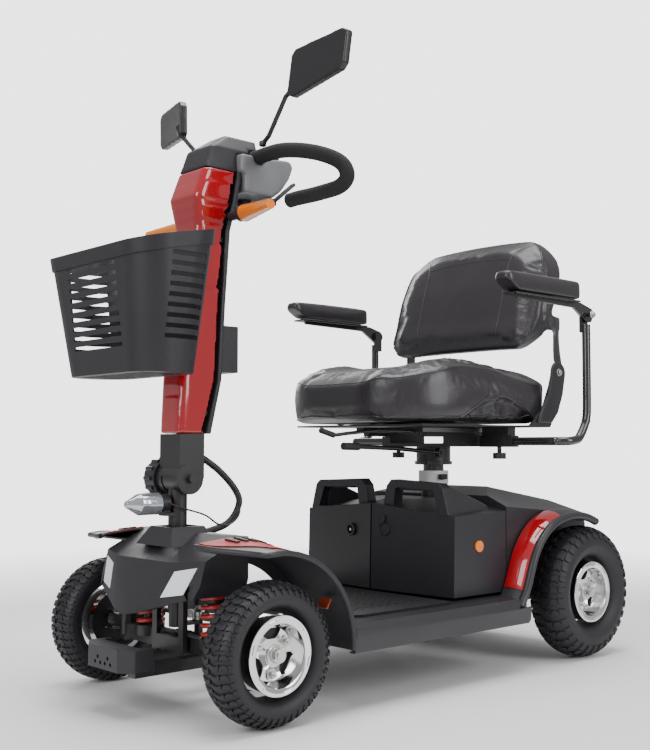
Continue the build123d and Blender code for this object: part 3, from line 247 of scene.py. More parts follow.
black_moulding = finish("black moulding", (0.020, 0.0195, 0.024), 0.40, grain=0.22, dust=0.05, specular=0.4)
deck_black = finish("deck black", (0.016, 0.016, 0.020), 0.38, grain=0.25, grain_scale=600.0, dust=0.04)
mat_rubber = finish("mat rubber", (0.008, 0.008, 0.010), 0.60, grain=0.3, grain_scale=500.0, dust=0.05,
                    specular=0.3)
dress("floor_pan", deck_black, 5.0)
dress("floor_mat", mat_rubber, 0.8)

LUG_PITCH = 0.0115
studs = bmesh.new()
low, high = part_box("floor_mat")
mat_top = high[2]
rows = int((high[1] - low[1] - 0.03) / LUG_PITCH)
columns = int((high[0] - low[0] - 0.075) / LUG_PITCH)
for row in range(rows):
    for column in range(columns):
        x = low[0] + 0.040 + (column + 0.5 * (row % 2)) * LUG_PITCH
        y = low[1] + 0.018 + row * LUG_PITCH
        corners = []
        for k in range(4):
            turn = math.radians(90 * k + (45 if (row + column) % 2 else 0))
            corners.append(Vector((x + 0.0036 * math.cos(turn), y + 0.0026 * math.sin(turn), mat_top - 0.0002)))
        middle = Vector((x, y, mat_top)) * 0.1 + Vector((0, 0, 0.0011))
        base = [studs.verts.new(c) for c in corners]
        top = [studs.verts.new(c * 0.9 + middle) for c in corners]
        studs.faces.new(top)
        skin_rings(studs, (base, top))
new_piece("mat_studs", studs, mat_rubber, "chassis", smooth=False)

# ---------------------------------------------------------------- steel frame, axle and drive
# Welded tube and plate, powder coated black. The linkage's bolts and nuts are zinc plated.

black_steel = finish("black powder coat", (0.016, 0.016, 0.017), 0.36, grain=0.18, grain_scale=1400.0, dust=0.08,
                     coat=0.1)
zinc = finish("zinc plate", (0.62, 0.62, 0.60), 0.30, metal=1.0, dust=0.05)
cast_grey = finish("cast grey", (0.10, 0.10, 0.105), 0.48, metal=0.6, grain=0.5, grain_scale=500.0)
for node in ("front_frame", "main_frame", "axle_beam"):
    dress(node, black_steel, 1.0)
for node in ("tie_rod_left", "tie_rod_right"):
    dress(node, zinc, 0.8)


def bolt(name, place, axis, radius, length, material, body, sides=6):
    """A hexagon bolt head with its washer, standing on a face."""
    shape = bmesh.new()
    turn = Vector((0, 0, 1)).rotation_difference(Vector(axis)).to_matrix().to_4x4()
    washer = length * 0.25
    for r, low_z, high_z, count in ((radius * 1.35, 0.0, washer, 32), (radius, washer, length, sides)):
        made = bmesh.ops.create_cone(shape, cap_ends=True, segments=count, radius1=r, radius2=r * 0.97,
                                     depth=high_z - low_z)["verts"]
        bmesh.ops.translate(shape, verts=made, vec=(0, 0, (high_z + low_z) / 2))
    bmesh.ops.transform(shape, matrix=Matrix.Translation(place) @ turn, verts=shape.verts)
    piece = new_piece(name, shape, material, body, smooth=False)
    return soften(piece, min(0.5, radius * 120), 50)


def dress_by(node, materials, choose, width=1.0, angle=32):
    """Gives a frame node several finishes; choose(centre, normal) in mm says which one a face takes."""
    piece = nodes[node]
    piece.data.materials.clear()
    for material in materials:
        piece.data.materials.append(material)
    place = piece.matrix_world
    for face in piece.data.polygons:
        centre = place @ face.center / MM
        face.material_index = choose(Vector((centre.x, centre.y - SHIFT, centre.z)), face.normal)
    return soften(piece, width, angle)


for node in ("knuckle_left", "knuckle_right"):
    dress_by(node, (black_steel, zinc), lambda p, n: int(abs(p.x) > 286), 0.8)
dress_by("drive_unit", (cast_grey, zinc), lambda p, n: int(abs(p.x) > 274), 1.0)
for side, x in (("left", 1), ("right", -1)):
    bolt(f"kingpin_nut_{side}", at(196 * x, -430, 160.5), (0, 0, 1), 0.0075, 0.007, zinc, "front_axle")
    bolt(f"rod_end_nut_{side}", at(196 * x, -380, 160), (0, 0, 1), 0.0058, 0.006, zinc, f"knuckle_{side}")
bolt("pitman_nut", at(0, -391, 168.5), (0, 0, 1), 0.0058, 0.006, zinc, "steering")

# ---------------------------------------------------------------- front springs
# A red wound coil at each side stands between the beam and a seat under the frame, with a zinc adjusting ring.

spring_red = finish("spring red", (0.42, 0.018, 0.012), 0.28, coat=0.4)
SIDES = (("left", 1), ("right", -1))
SPRING_X = 108
WIRE = 4.4
COIL = 23


def tube_round(name, points, radius, material, body):
    """A round bar or tube along close points."""
    curve = bpy.data.curves.new(name, "CURVE")
    curve.dimensions = "3D"
    curve.bevel_depth = radius
    curve.bevel_resolution = 5
    curve.use_fill_caps = True
    spline = curve.splines.new("POLY")
    spline.points.add(len(points) - 1)
    for knot, point in zip(spline.points, points):
        knot.co = (*point, 1.0)
    piece = placed(name, curve)
    mesh = bpy.data.meshes.new_from_object(piece.evaluated_get(bpy.context.evaluated_depsgraph_get()))
    bpy.data.objects.remove(piece)
    piece = placed(name, mesh)
    mesh.materials.append(material)
    for polygon in mesh.polygons:
        polygon.use_smooth = True
    if body:
        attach(piece, body)
    return piece


for side, sign in SIDES:
    low, high = 132 + WIRE, 214 - WIRE
    turns = 5.6
    steps = 110
    wound = []
    for k in range(steps + 1):
        t = k / steps
        a = 2 * math.pi * turns * t
        rise = min(1.0, max(0.0, (t - 0.1) / 0.8))
        x = sign * SPRING_X + COIL * math.cos(a)
        wound.append(at(x, -430 + COIL * math.sin(a), low + (high - low) * rise))
    coil = tube_round(f"spring_{side}", wound, WIRE * MM, spring_red, None)
    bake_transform(coil)
    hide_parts("front_springs")
    ring = bmesh.new()
    for z0, z1, r in ((214.6, 219, 28.6), (220, 226, 26), (227, 233, 28.6)):
        made = bmesh.ops.create_cone(ring, cap_ends=True, segments=40, radius1=r * MM, radius2=r * MM,
                                     depth=(z1 - z0) * MM)["verts"]
        bmesh.ops.translate(ring, verts=made, vec=at(sign * SPRING_X, -430, (z0 + z1) / 2))
    soften(new_piece(f"spring_ring_{side}", ring, zinc, "chassis"), 0.6)

# ---------------------------------------------------------------- tyres
# Black pneumatic tyres. The front ones have wavy bars across the crown, the rear ones chunky staggered blocks.

tyre_rubber = finish("tyre rubber", (0.012, 0.012, 0.015), 0.52, grain=0.2, grain_scale=450.0, dust=0.05,
                     specular=0.4)
RIM_R = 70.5


def tyre_point(radius, width, theta, turn, lift=0.0):
    """A point on the tyre's round section, theta from the crown, at a turn round the axle, from its middle."""
    middle = (radius + RIM_R) / 2
    half = width / 2 - 3.5 + lift
    height = radius - 3.5 - middle + lift
    power = 2 / 2.2
    s, c = math.sin(theta), math.cos(theta)
    x = half * math.copysign(abs(s) ** power, s)
    r = middle + height * math.copysign(abs(c) ** power, c)
    return Vector((x, r * math.cos(turn), r * math.sin(turn))) * MM


def tread_bar(shape, radius, width, theta, turns, skew, depth, steps=4):
    """One raised bar of tread between two section angles and two turns, leaning by skew and rising by depth."""
    grid = []
    for k in range(steps + 1):
        t = theta[0] + (theta[1] - theta[0]) * k / steps
        lean = skew * math.sin((t - theta[0]) / (theta[1] - theta[0]) * math.pi)
        inset = 0.12 * (turns[1] - turns[0])
        row = ((turns[0], -1.0), (turns[0] + inset, depth), (turns[1] - inset, depth), (turns[1], -1.0))
        grid.append([shape.verts.new(tyre_point(radius, width, t, turn + lean, lift)) for turn, lift in row])
    skin_rings(shape, grid, closed=False, caps=True)


def tyre_shape(radius, width, rear):
    """Carcass with its sidewall rings, and the tread."""
    shape = bmesh.new()
    around = 120
    section = [math.radians(-152 + 304 * k / 48) for k in range(49)]
    rings = []
    for j in range(around):
        turn = 2 * math.pi * j / around
        points = [tyre_point(radius, width, t, turn, 0.9 if 1.55 < abs(t) < 1.66 else 0.0) for t in section]
        rings.append([shape.verts.new(point) for point in points])
    skin_rings(shape, rings + rings[:1])
    pitches = 34 if rear else 46
    step = 2 * math.pi / pitches
    for k in range(pitches):
        turn = step * k
        for s in (1, -1):
            shift = 0.0 if s > 0 else step / 2
            if rear:
                bars = (((0.04, 0.40), 0.00, 0.56, 0.10, 3.4), ((0.46, 0.86), 0.22, 0.80, -0.12, 3.4),
                        ((0.90, 1.30), 0.02, 0.56, 0.08, 3.2))
            else:
                bars = (((0.03, 0.52), 0.00, 0.62, 0.22, 3.4), ((0.56, 1.02), 0.22, 0.80, -0.22, 3.4),
                        ((1.05, 1.36), 0.05, 0.45, 0.05, 2.6))
            for (t0, t1), a, b, skew, depth in bars:
                theta = (s * t0, s * t1)
                turns = (turn + shift + a * step, turn + shift + b * step)
                tread_bar(shape, radius, width, theta, turns, skew * step, depth)
    return shape


def middle_of(node):
    """The middle of a frame node's box."""
    low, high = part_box(node)
    return Vector([(a + b) / 2 for a, b in zip(low, high)])


for end, radius, width in (("front", 125.5, 82), ("rear", 149, 96)):
    for side, turned in (("left", 0), ("right", math.pi)):
        shape = tyre_shape(radius, width, end == "rear")
        place = Matrix.Translation(middle_of(f"tyre_{end}_{side}")) @ Matrix.Rotation(turned, 4, "Z")
        bmesh.ops.transform(shape, matrix=place, verts=shape.verts)
        tyre = new_piece(f"tyre_{end}_{side}_treaded", shape, tyre_rubber, f"wheel_{end}_{side}")
        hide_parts(f"tyre_{end}_{side}")
        tyre.data.set_sharp_from_angle(angle=math.radians(40))

# ---------------------------------------------------------------- wheels
# Chromed dished wheels: a flat lip with short slots, a bowl with three windows, three lug nuts and a stepped
# hub cap.

chrome = finish("wheel chrome", (0.78, 0.78, 0.79), 0.10, metal=1.0, spread=0.04)
# A near-black material for painted shade: it stands in for the shade inside the wheels and in the battery cap's
# groove.
painted_shade_black = finish("painted shade black", (0.01, 0.01, 0.01), 0.6)


def polar(x, r, angle):
    """A point in metres from mm along the axle and out from it."""
    return Vector((x, r * math.cos(angle), r * math.sin(angle))) * MM


def turned_shape(shape, outline, segments):
    """A body of revolution about X from (x, radius) points in mm."""
    rings = []
    for j in range(segments):
        a = 2 * math.pi * j / segments
        rings.append([shape.verts.new(polar(x, r, a)) for x, r in outline])
    skin_rings(shape, rings + rings[:1], closed=False)


def cut_away(piece, cutter):
    """Cuts one piece by another and keeps the result as a plain mesh."""
    tool = piece.modifiers.new("cut", "BOOLEAN")
    tool.object = cutter
    tool.operation = "DIFFERENCE"
    tool.solver = "EXACT"
    mesh = bpy.data.meshes.new_from_object(piece.evaluated_get(bpy.context.evaluated_depsgraph_get()))
    piece.modifiers.clear()
    piece.data = mesh
    bpy.data.objects.remove(cutter)


def wheel_window_cutters():
    """Three rounded wedge windows through the bowl, and short slots in the lip."""
    shape = bmesh.new()
    for k in range(3):
        middle = math.radians(-30 + 120 * k)
        outline = ((27, 0.30), (31, 0.42), (38, 0.50), (45, 0.50), (48, 0.40))
        ring = [(r, middle - s) for r, s in outline] + [(r, middle + s) for r, s in outline[::-1]]
        skin_rings(shape, [[shape.verts.new(polar(x, r, a)) for r, a in ring] for x in (-12, 34)], caps=True)
    for k in range(6):
        middle = math.radians(15 + 60 * k)
        made = add_block(shape, (0.0350, -0.0085, 0.0618), (0.0420, 0.0085, 0.0640))
        bmesh.ops.rotate(shape, verts=made, cent=(0, 0, 0), matrix=Matrix.Rotation(middle, 3, "X"))
    bmesh.ops.recalc_face_normals(shape, faces=shape.faces[:])
    mesh = bpy.data.meshes.new("cutter")
    shape.to_mesh(mesh)
    shape.free()
    cutter = placed("cutter", mesh)
    return cutter


BOWL = [(-34, 60), (-34, 69), (-31, 66), (30, 66), (32.5, 68.6), (35.6, 68.6), (36.4, 67.6), (36.4, 56.5),
        (35.2, 54.5), (27, 52.5), (14, 50), (8.5, 46), (8, 38), (9.5, 28), (15, 22.5), (18.5, 20.5), (18.5, 8.4),
        (-26, 8.4), (-26, 20), (4, 21), (4, 55), (-20, 60), (-34, 60)]
NUT_PARTS = ((0.0105, 0.002, 10.5, 28), (0.0070, 0.009, 14.5, 6), (0.0032, 0.006, 20, 16))
HUB_CAP = [(18.6, 8.3), (19, 19), (21, 18.4), (21.4, 14), (24.5, 13.6), (25.6, 12.6), (25.6, 8.3)]

for end in ("front", "rear"):
    for side, turned in (("left", 0), ("right", math.pi)):
        body = f"wheel_{end}_{side}"
        place = Matrix.Translation(middle_of(f"tyre_{end}_{side}")) @ Matrix.Rotation(turned, 4, "Z")
        shape = bmesh.new()
        turned_shape(shape, BOWL, 96)
        bmesh.ops.remove_doubles(shape, verts=shape.verts, dist=1e-6)
        wheel = new_piece(f"wheel_{end}_{side}_chromed", shape, chrome, body)
        cut_away(wheel, wheel_window_cutters())
        wheel.data.set_sharp_from_angle(angle=math.radians(35))
        wheel.data.transform(place)
        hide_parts(f"rim_{end}_{side}")
        # A near-black sheet behind the bowl's windows is painted shade: it stands in for the shaded inside of the
        # wheel.
        inside = bmesh.new()
        turned_shape(inside, [(1.0, 21.5), (1.0, 54), (-19, 59.5), (-19.4, 59), (0.6, 53), (0.6, 21.5)], 64)
        bmesh.ops.transform(inside, matrix=place, verts=inside.verts)
        new_piece(f"wheel_inside_{end}_{side}", inside, painted_shade_black, body, smooth=False)
        nuts = bmesh.new()
        turned_shape(nuts, HUB_CAP, 48)
        for k in range(3):
            a = math.radians(30 + 120 * k)
            for r, depth, out, sides in NUT_PARTS:
                made = bmesh.ops.create_cone(nuts, cap_ends=True, segments=sides, radius1=r, radius2=r * 0.93,
                                             depth=depth)["verts"]
                bmesh.ops.rotate(nuts, verts=made, matrix=Matrix.Rotation(math.pi / 2, 3, "Y"))
                bmesh.ops.translate(nuts, verts=made, vec=polar(out, 35, a))
        bmesh.ops.transform(nuts, matrix=place, verts=nuts.verts)
        soften(new_piece(f"wheel_nuts_{end}_{side}", nuts, zinc, body, smooth=False), 0.4, 40)
        badge = bmesh.new()
        made = bmesh.ops.create_cone(badge, cap_ends=True, segments=36, radius1=0.0075, radius2=0.0070,
                                     depth=0.0012)["verts"]
        bmesh.ops.scale(badge, verts=made, vec=(0.6, 1.5, 1.0))
        bmesh.ops.rotate(badge, verts=made, cent=(0, 0, 0), matrix=Matrix.Rotation(math.pi / 2, 3, "Y"))
        bmesh.ops.translate(badge, verts=made, vec=Vector((36.8, 0, 62)) * MM)
        bmesh.ops.transform(badge, matrix=place, verts=badge.verts)
        new_piece(f"wheel_badge_{end}_{side}", badge, chrome, body, smooth=False)

# ---------------------------------------------------------------- bumper
# A thick black moulding on the ends of the frame's rails, with two clusters of three small vents.

dress("front_bumper", black_moulding, 2.5)

# ---------------------------------------------------------------- nose and front fenders
# The nose and both fenders are one matt black moulding with creased facets. The fender crowns carry glossy red
# panels with black ribs, the nose two white reflectors, and the back of each fender an amber one.

dress("front_cowl", black_moulding, 2.2, 24)
gloss_red = finish("gloss red", (0.34, 0.003, 0.008), 0.12, coat=1.0, spread=0.03)
white_reflector = finish("white reflector", (0.80, 0.84, 0.90), 0.18, coat=0.8, grain=0.8, grain_scale=260.0)
amber_reflector = finish("amber reflector", (0.42, 0.07, 0.025), 0.25, coat=0.8, grain=0.8, grain_scale=300.0)
dress("front_reflectors", white_reflector, 0.5)

FENDER_MIDDLE = (-430, 125.5)
FENDER_R = 175


def fender_point(x, angle, rise):
    """A point on the front fender's outside, angle from +Y towards +Z in degrees, rise in mm above it."""
    a = math.radians(angle)
    r = FENDER_R + rise
    return at(x, FENDER_MIDDLE[0] + r * math.cos(a), FENDER_MIDDLE[1] + r * math.sin(a))


def fender_top(x, y, rise):
    """The height of the fender's skin: an arch over the wheel, flatter ahead of it, higher towards the nose."""
    share = (x - 150) / 147
    ahead = max(0.0, -445 - y)
    arc = max(y, -445) - FENDER_MIDDLE[0]
    z = FENDER_MIDDLE[1] + math.sqrt(max(0.0, (FENDER_R + 0.8 + rise) ** 2 - arc * arc)) - 0.10 * ahead
    crown = 15 * max(0.0, 1 - share) ** 1.3 * (1 - ramp(y, -400, -290))
    return z + crown


def fender_front(x):
    """Where the fender's front edge lies: it sweeps forward towards the nose."""
    return -512 + 52 * ramp(x, 150, 300)


def fender_sheet(shape, sign, across, along, rise, depth):
    """A curved sheet of the fender's top, as a closed shell: across is from, to and steps, along(x) its ends."""
    cells = 32
    rings = []
    for i in range(across[2] + 1):
        x = across[0] + (across[1] - across[0]) * i / across[2]
        start, end = along(x)
        places = [start + (end - start) * j / cells for j in range(cells + 1)]
        upper = [shape.verts.new(at(sign * x, y, fender_top(x, y, rise))) for y in places]
        lower = [shape.verts.new(at(sign * x, y, fender_top(x, y, rise - depth))) for y in places]
        rings.append(upper + lower[::-1])
    skin_rings(shape, rings)
    for ring in (rings[0], rings[-1]):
        for j in range(cells):
            shape.faces.new((ring[j], ring[j + 1], ring[-2 - j], ring[-1 - j]))


def accent_ends(x):
    """Where the red panel on the fender's top begins and ends along Y."""
    return fender_front(x) + 8 + 40 * ramp(x, 170, 262), -318 - 26 * ramp(x, 200, 262)


fender_red = finish("fender red", (0.36, 0.006, 0.008), 0.42, spread=0.05, specular=0.22)
for side, sign in SIDES:
    skin = bmesh.new()
    fender_sheet(skin, sign, (152, 297, 14), lambda x: (fender_front(x), -272), 0.0, 4.0)
    soften(new_piece(f"fender_skin_{side}", skin, black_moulding, "chassis"), 1.2, 50)
    accent = bmesh.new()
    fender_sheet(accent, sign, (156, 262, 12), accent_ends, 2.0, 1.6)
    red = soften(new_piece(f"fender_accent_{side}", accent, fender_red, "chassis"), 0.8, 50)
    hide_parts("front_accents")
    edge = [fender_point(sign * 295, -4 + 100 * k / 28, -2.5) for k in range(29)]
    for x in range(294, 154, -10):
        edge.append(at(sign * x, fender_front(x), fender_top(x, fender_front(x), -3.0)))
    tube_round(f"fender_lip_{side}", edge, 0.0055, black_moulding, "chassis")
    ribs = bmesh.new()
    for k in range(7):
        y = -455 + 20 * k
        corners = [(x, y + d) for x, d in ((168, 0), (198, 4), (198, 13), (168, 9))]
        base = [ribs.verts.new(at(sign * a, b, fender_top(a, b, 1.5))) for a, b in corners]
        top = [ribs.verts.new(at(sign * a, b, fender_top(a, b, 5.0))) for a, b in corners]
        ribs.faces.new(top)
        skin_rings(ribs, (base, top))
    soften(new_piece(f"accent_ribs_{side}", ribs, black_moulding, "chassis"), 0.8)
    reflector = bmesh.new()
    made = add_block(reflector, (-0.014, -0.0018, -0.010), (0.014, 0.0018, 0.010))
    bmesh.ops.transform(reflector, verts=made, matrix=Matrix.Translation(at(sign * 250, -289, 196))
                        @ Matrix.Rotation(math.radians(-30), 4, "X"))
    soften(new_piece(f"fender_reflector_{side}", reflector, amber_reflector, "chassis"), 0.8)

# ---------------------------------------------------------------- rear cover, panels and flares
# The drive is under a matt black cover. A glossy red panel and a black rolled lip follow each rear opening.

dress("rear_cover", black_moulding, 3.0, 12)
OPENING = [(242, 140), (258, 160), (270, 182), (282, 215), (296, 247), (319, 277), (348, 301), (382, 316),
           (430, 325), (476, 322), (505, 314), (524, 306)]


def evenly(line, count):
    """Evenly spread points along a line of short pieces, each with the direction of its piece."""
    lengths = [0.0]
    for a, b in zip(line, line[1:]):
        lengths.append(lengths[-1] + (b - a).length)
    out = []
    for k in range(count + 1):
        goal = lengths[-1] * k / count
        j = max(1, next((n for n, d in enumerate(lengths) if d >= goal - 1e-9), len(lengths) - 1))
        t = (goal - lengths[j - 1]) / max(1e-9, lengths[j] - lengths[j - 1])
        out.append((line[j - 1].lerp(line[j], t), (line[j] - line[j - 1]).normalized()))
    return out


def smooth_line(points, count):
    """Evenly spread points on a smooth line through the given ones."""
    curve = bpy.data.curves.new("line", "CURVE")
    curve.dimensions = "3D"
    curve.resolution_u = 16
    spline = curve.splines.new("NURBS")
    spline.points.add(len(points) - 1)
    for knot, (a, b) in zip(spline.points, points):
        knot.co = (a, b, 0, 1)
    spline.order_u = 4
    spline.use_endpoint_u = True
    holder = placed("line", curve)
    mesh = bpy.data.meshes.new_from_object(holder.evaluated_get(bpy.context.evaluated_depsgraph_get()))
    line = [vert.co.to_2d() for vert in mesh.vertices]
    bpy.data.objects.remove(holder)
    return [place for place, _ in evenly(line, count)]


def along_opening(outline, name, material, sign, first=0.0, last=1.0, count=64):
    """A moulding along the rear wheel opening, from its outline of (x, distance out) points."""
    line = smooth_line(OPENING, count)
    shape = bmesh.new()
    rings = []
    for k, point in enumerate(line):
        t = k / count
        if not first <= t <= last:
            continue
        ahead = line[min(count, k + 1)] - line[max(0, k - 1)]
        out = Vector((-ahead.y, ahead.x)).normalized()
        ring = [at(sign * x, point.x + out.x * d, point.y + out.y * d) for x, d in outline]
        rings.append([shape.verts.new(place) for place in ring])
    skin_rings(shape, rings, caps=True)
    piece = new_piece(name, shape, material, "chassis")
    return soften(piece, 1.2, 50)


LIP = [(282 + 10 * math.cos(a), 1 + 9 * math.sin(a)) for a in (2 * math.pi * k / 14 for k in range(14))]
BAND = [(231, 0.8), (231, 15), (245, 16), (262, 14), (276, 8.5), (283, 4), (283, 0.8)]
PANEL = [(233, 2), (233, 17), (245, 19), (262, 17), (274, 12), (281, 7), (281, 2)]
for side, sign in SIDES:
    lip = along_opening(LIP, f"rear_lip_{side}", black_moulding, sign)
    band = along_opening(BAND, f"rear_band_{side}", black_moulding, sign)
    panel = along_opening(PANEL, f"rear_panel_{side}", gloss_red, sign, first=0.09, last=0.66)
    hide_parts("rear_flares")
    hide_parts("rear_flares")
    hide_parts("rear_panels")
liner = bmesh.new()
for sign in (1, -1):
    add_block(liner, at(sign * 200, 250, 106), at(sign * 262, 292, 172))
soften(new_piece("rear_liner", liner, black_steel, "chassis"), 2.0)
red_lens = finish("red lens", (0.50, 0.004, 0.006), 0.12, coat=1.0, grain=0.6, grain_scale=220.0)
dress("tail_lamps", red_lens, 2.5)

# ---------------------------------------------------------------- battery packs
# Two black cases that meet in the middle. Each has a moulded arch for a handle with grip teeth under its bar, and
# an amber disc at its side. The left one has a round cap over its contacts, the right one an open charging socket.

def solids_in(node):
    """The separate solids of a frame node, as bmeshes, the largest first."""
    whole = bmesh.new()
    whole.from_mesh(nodes[node].data)
    bmesh.ops.remove_doubles(whole, verts=whole.verts, dist=1e-6)
    left = set(whole.verts)
    groups = []
    while left:
        seed = left.pop()
        group, edge = {seed}, [seed]
        while edge:
            vert = edge.pop()
            for link in vert.link_edges:
                other = link.other_vert(vert)
                if other not in group:
                    group.add(other)
                    edge.append(other)
        left -= group
        groups.append(group)
    out = []
    for group in sorted(groups, key=len, reverse=True):
        piece = bmesh.new()
        match = {v: piece.verts.new(v.co) for v in group}
        for face in whole.faces:
            if face.verts[0] in group:
                piece.faces.new([match[v] for v in face.verts])
        out.append(piece)

    def room(piece):
        spans = [max(v.co[k] for v in piece.verts) - min(v.co[k] for v in piece.verts) for k in range(3)]
        return spans[0] * spans[1] * spans[2]

    whole.free()
    return sorted(out, key=room, reverse=True)


case_black = finish("case black", (0.019, 0.0185, 0.023), 0.38, grain=0.2, dust=0.03, specular=0.4)
amber_lens = finish("amber lens", (0.86, 0.21, 0.006), 0.14, coat=1.0, grain=0.4, grain_scale=240.0)
for side, sign in SIDES:
    node = f"battery_{side}"
    for solid in solids_in(node):
        middle = sum((v.co for v in solid.verts), Vector()) / len(solid.verts)
        span = max(v.co.x for v in solid.verts) - min(v.co.x for v in solid.verts)
        if span > 0.1:
            label, material, width = "case", case_black, 5.0
        elif abs(middle.x) > 0.2:
            label, material, width = "disc", amber_lens, 1.2
        elif span < 0.008:
            label, material, width = "pin", zinc, 0.5
        elif side == "right":
            label, material, width = "fitting", case_black, 0.7
        else:
            solid.free()
            continue
        piece = new_piece(f"{node}_{label}", solid, material, node)
        soften(piece, width, 24)
        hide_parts(node)
    if side == "left":
        groove = bmesh.new()
        # The groove round the cap and the notch above it are painted shade: a thin near-black ring and block stand
        # in for the shade in the recess.
        turned_shape(groove, [(-0.6, 13.2), (0.5, 13.6), (0.5, 14.8), (-0.6, 15.2)], 48)
        slant = Matrix.Rotation(math.radians(-85), 4, "Z")
        bmesh.ops.transform(groove, matrix=Matrix.Translation(at(40, 74.9, 299)) @ slant, verts=groove.verts)
        add_block(groove, at(37.6, 74.2, 313), at(42.4, 78, 329))
        new_piece("battery_left_cap_groove", groove, painted_shade_black, node)
    gusset = bmesh.new()
    near = [(212, 112, 337), (196, 112, 398), (170, 112, 402), (182, 112, 337)]
    far = [(208, 236, 337), (196, 240, 352), (172, 240, 354), (182, 236, 337)]
    rings = [[gusset.verts.new(at(sign * x, y, z)) for x, y, z in ring] for ring in (near, far)]
    skin_rings(gusset, rings, caps=True)
    soften(new_piece(f"{node}_gusset", gusset, case_black, node), 3.0, 20)
    teeth = bmesh.new()
    for k in range(17):
        x = sign * (76 + 5.4 * k)
        add_block(teeth, at(x - 1.4, 92, 385.5), at(x + 1.4, 116, 391.5))
    new_piece(f"{node}_grip_teeth", teeth, case_black, node, smooth=False)
    seam = bmesh.new()
    add_block(seam, at(sign * 3.2, 100, 300), at(sign * 1.2, 240, 350))
    new_piece(f"{node}_joint_rib", seam, case_black, node, smooth=False)

# ---------------------------------------------------------------- seat post, collar and swivel
# A black steel post stands in the tower of the frame, under a white plastic collar with a small clamp tab. The
# swivel and the slide above it are pressed and folded plate. Their levers are black rod with soft black tips.

white_plastic = finish("white plastic", (0.72, 0.72, 0.70), 0.35, grain=0.1)
gloss_steel = finish("gloss black tube", (0.012, 0.012, 0.013), 0.20, coat=0.5)
rail_steel = finish("rail steel", (0.34, 0.34, 0.35), 0.32, metal=1.0)
tip_rubber = finish("tip rubber", (0.015, 0.015, 0.016), 0.62, grain=0.2)
for node, material in (("seat_post", gloss_steel), ("seat_swivel", black_steel), ("seat_frame", black_steel),
                       ("post_collar", white_plastic)):
    dress(node, material, 1.0)
tab = bmesh.new()
add_block(tab, at(33, 262, 404), at(44, 282, 416))
soften(new_piece("collar_tab", tab, black_moulding, "chassis"), 1.2)

dress_by("swivel_lever", (gloss_steel, tip_rubber), lambda p, n: int(p.y < 20), 0.6)
dress_by("slide_lever", (gloss_steel, tip_rubber), lambda p, n: int(p.y < -60), 0.6)
for side, sign in SIDES:
    rail = bmesh.new()
    add_block(rail, at(sign * 104.6, 132, 513.0), at(sign * 106.2, 428, 522.5))
    soften(new_piece(f"slide_rail_{side}", rail, rail_steel, "seat"), 0.5)

# ---------------------------------------------------------------- seat cushion
# One foam block sewn into black vinyl. Its sides rise to a crest, the middle is dished for the rider, and each
# side panel has a piped arch over the receiver with gathered vinyl under it.

def vinyl_hide(name, colour, rough):
    """Sewn vinyl: a fine leather grain over soft drags and puckers."""
    material = finish(name, colour, rough, grain=0.35, grain_scale=700.0, coat=0.12, spread=0.08)
    tree = material.node_tree
    bump = next(node for node in tree.nodes if node.bl_idname == "ShaderNodeBump")
    folds = tree.nodes.new("ShaderNodeTexNoise")
    folds.inputs["Scale"].default_value = 9.0
    folds.inputs["Detail"].default_value = 3.0
    folds.inputs["Distortion"].default_value = 0.9
    place = tree.nodes.new("ShaderNodeTexCoord")
    tree.links.new(place.outputs["Object"], folds.inputs["Vector"])
    drag = tree.nodes.new("ShaderNodeBump")
    drag.inputs["Strength"].default_value = 0.25
    drag.inputs["Distance"].default_value = 0.006
    tree.links.new(folds.outputs["Fac"], drag.inputs["Height"])
    tree.links.new(drag.outputs["Normal"], bump.inputs["Normal"])
    return material


vinyl = vinyl_hide("black vinyl", (0.020, 0.017, 0.021), 0.36)


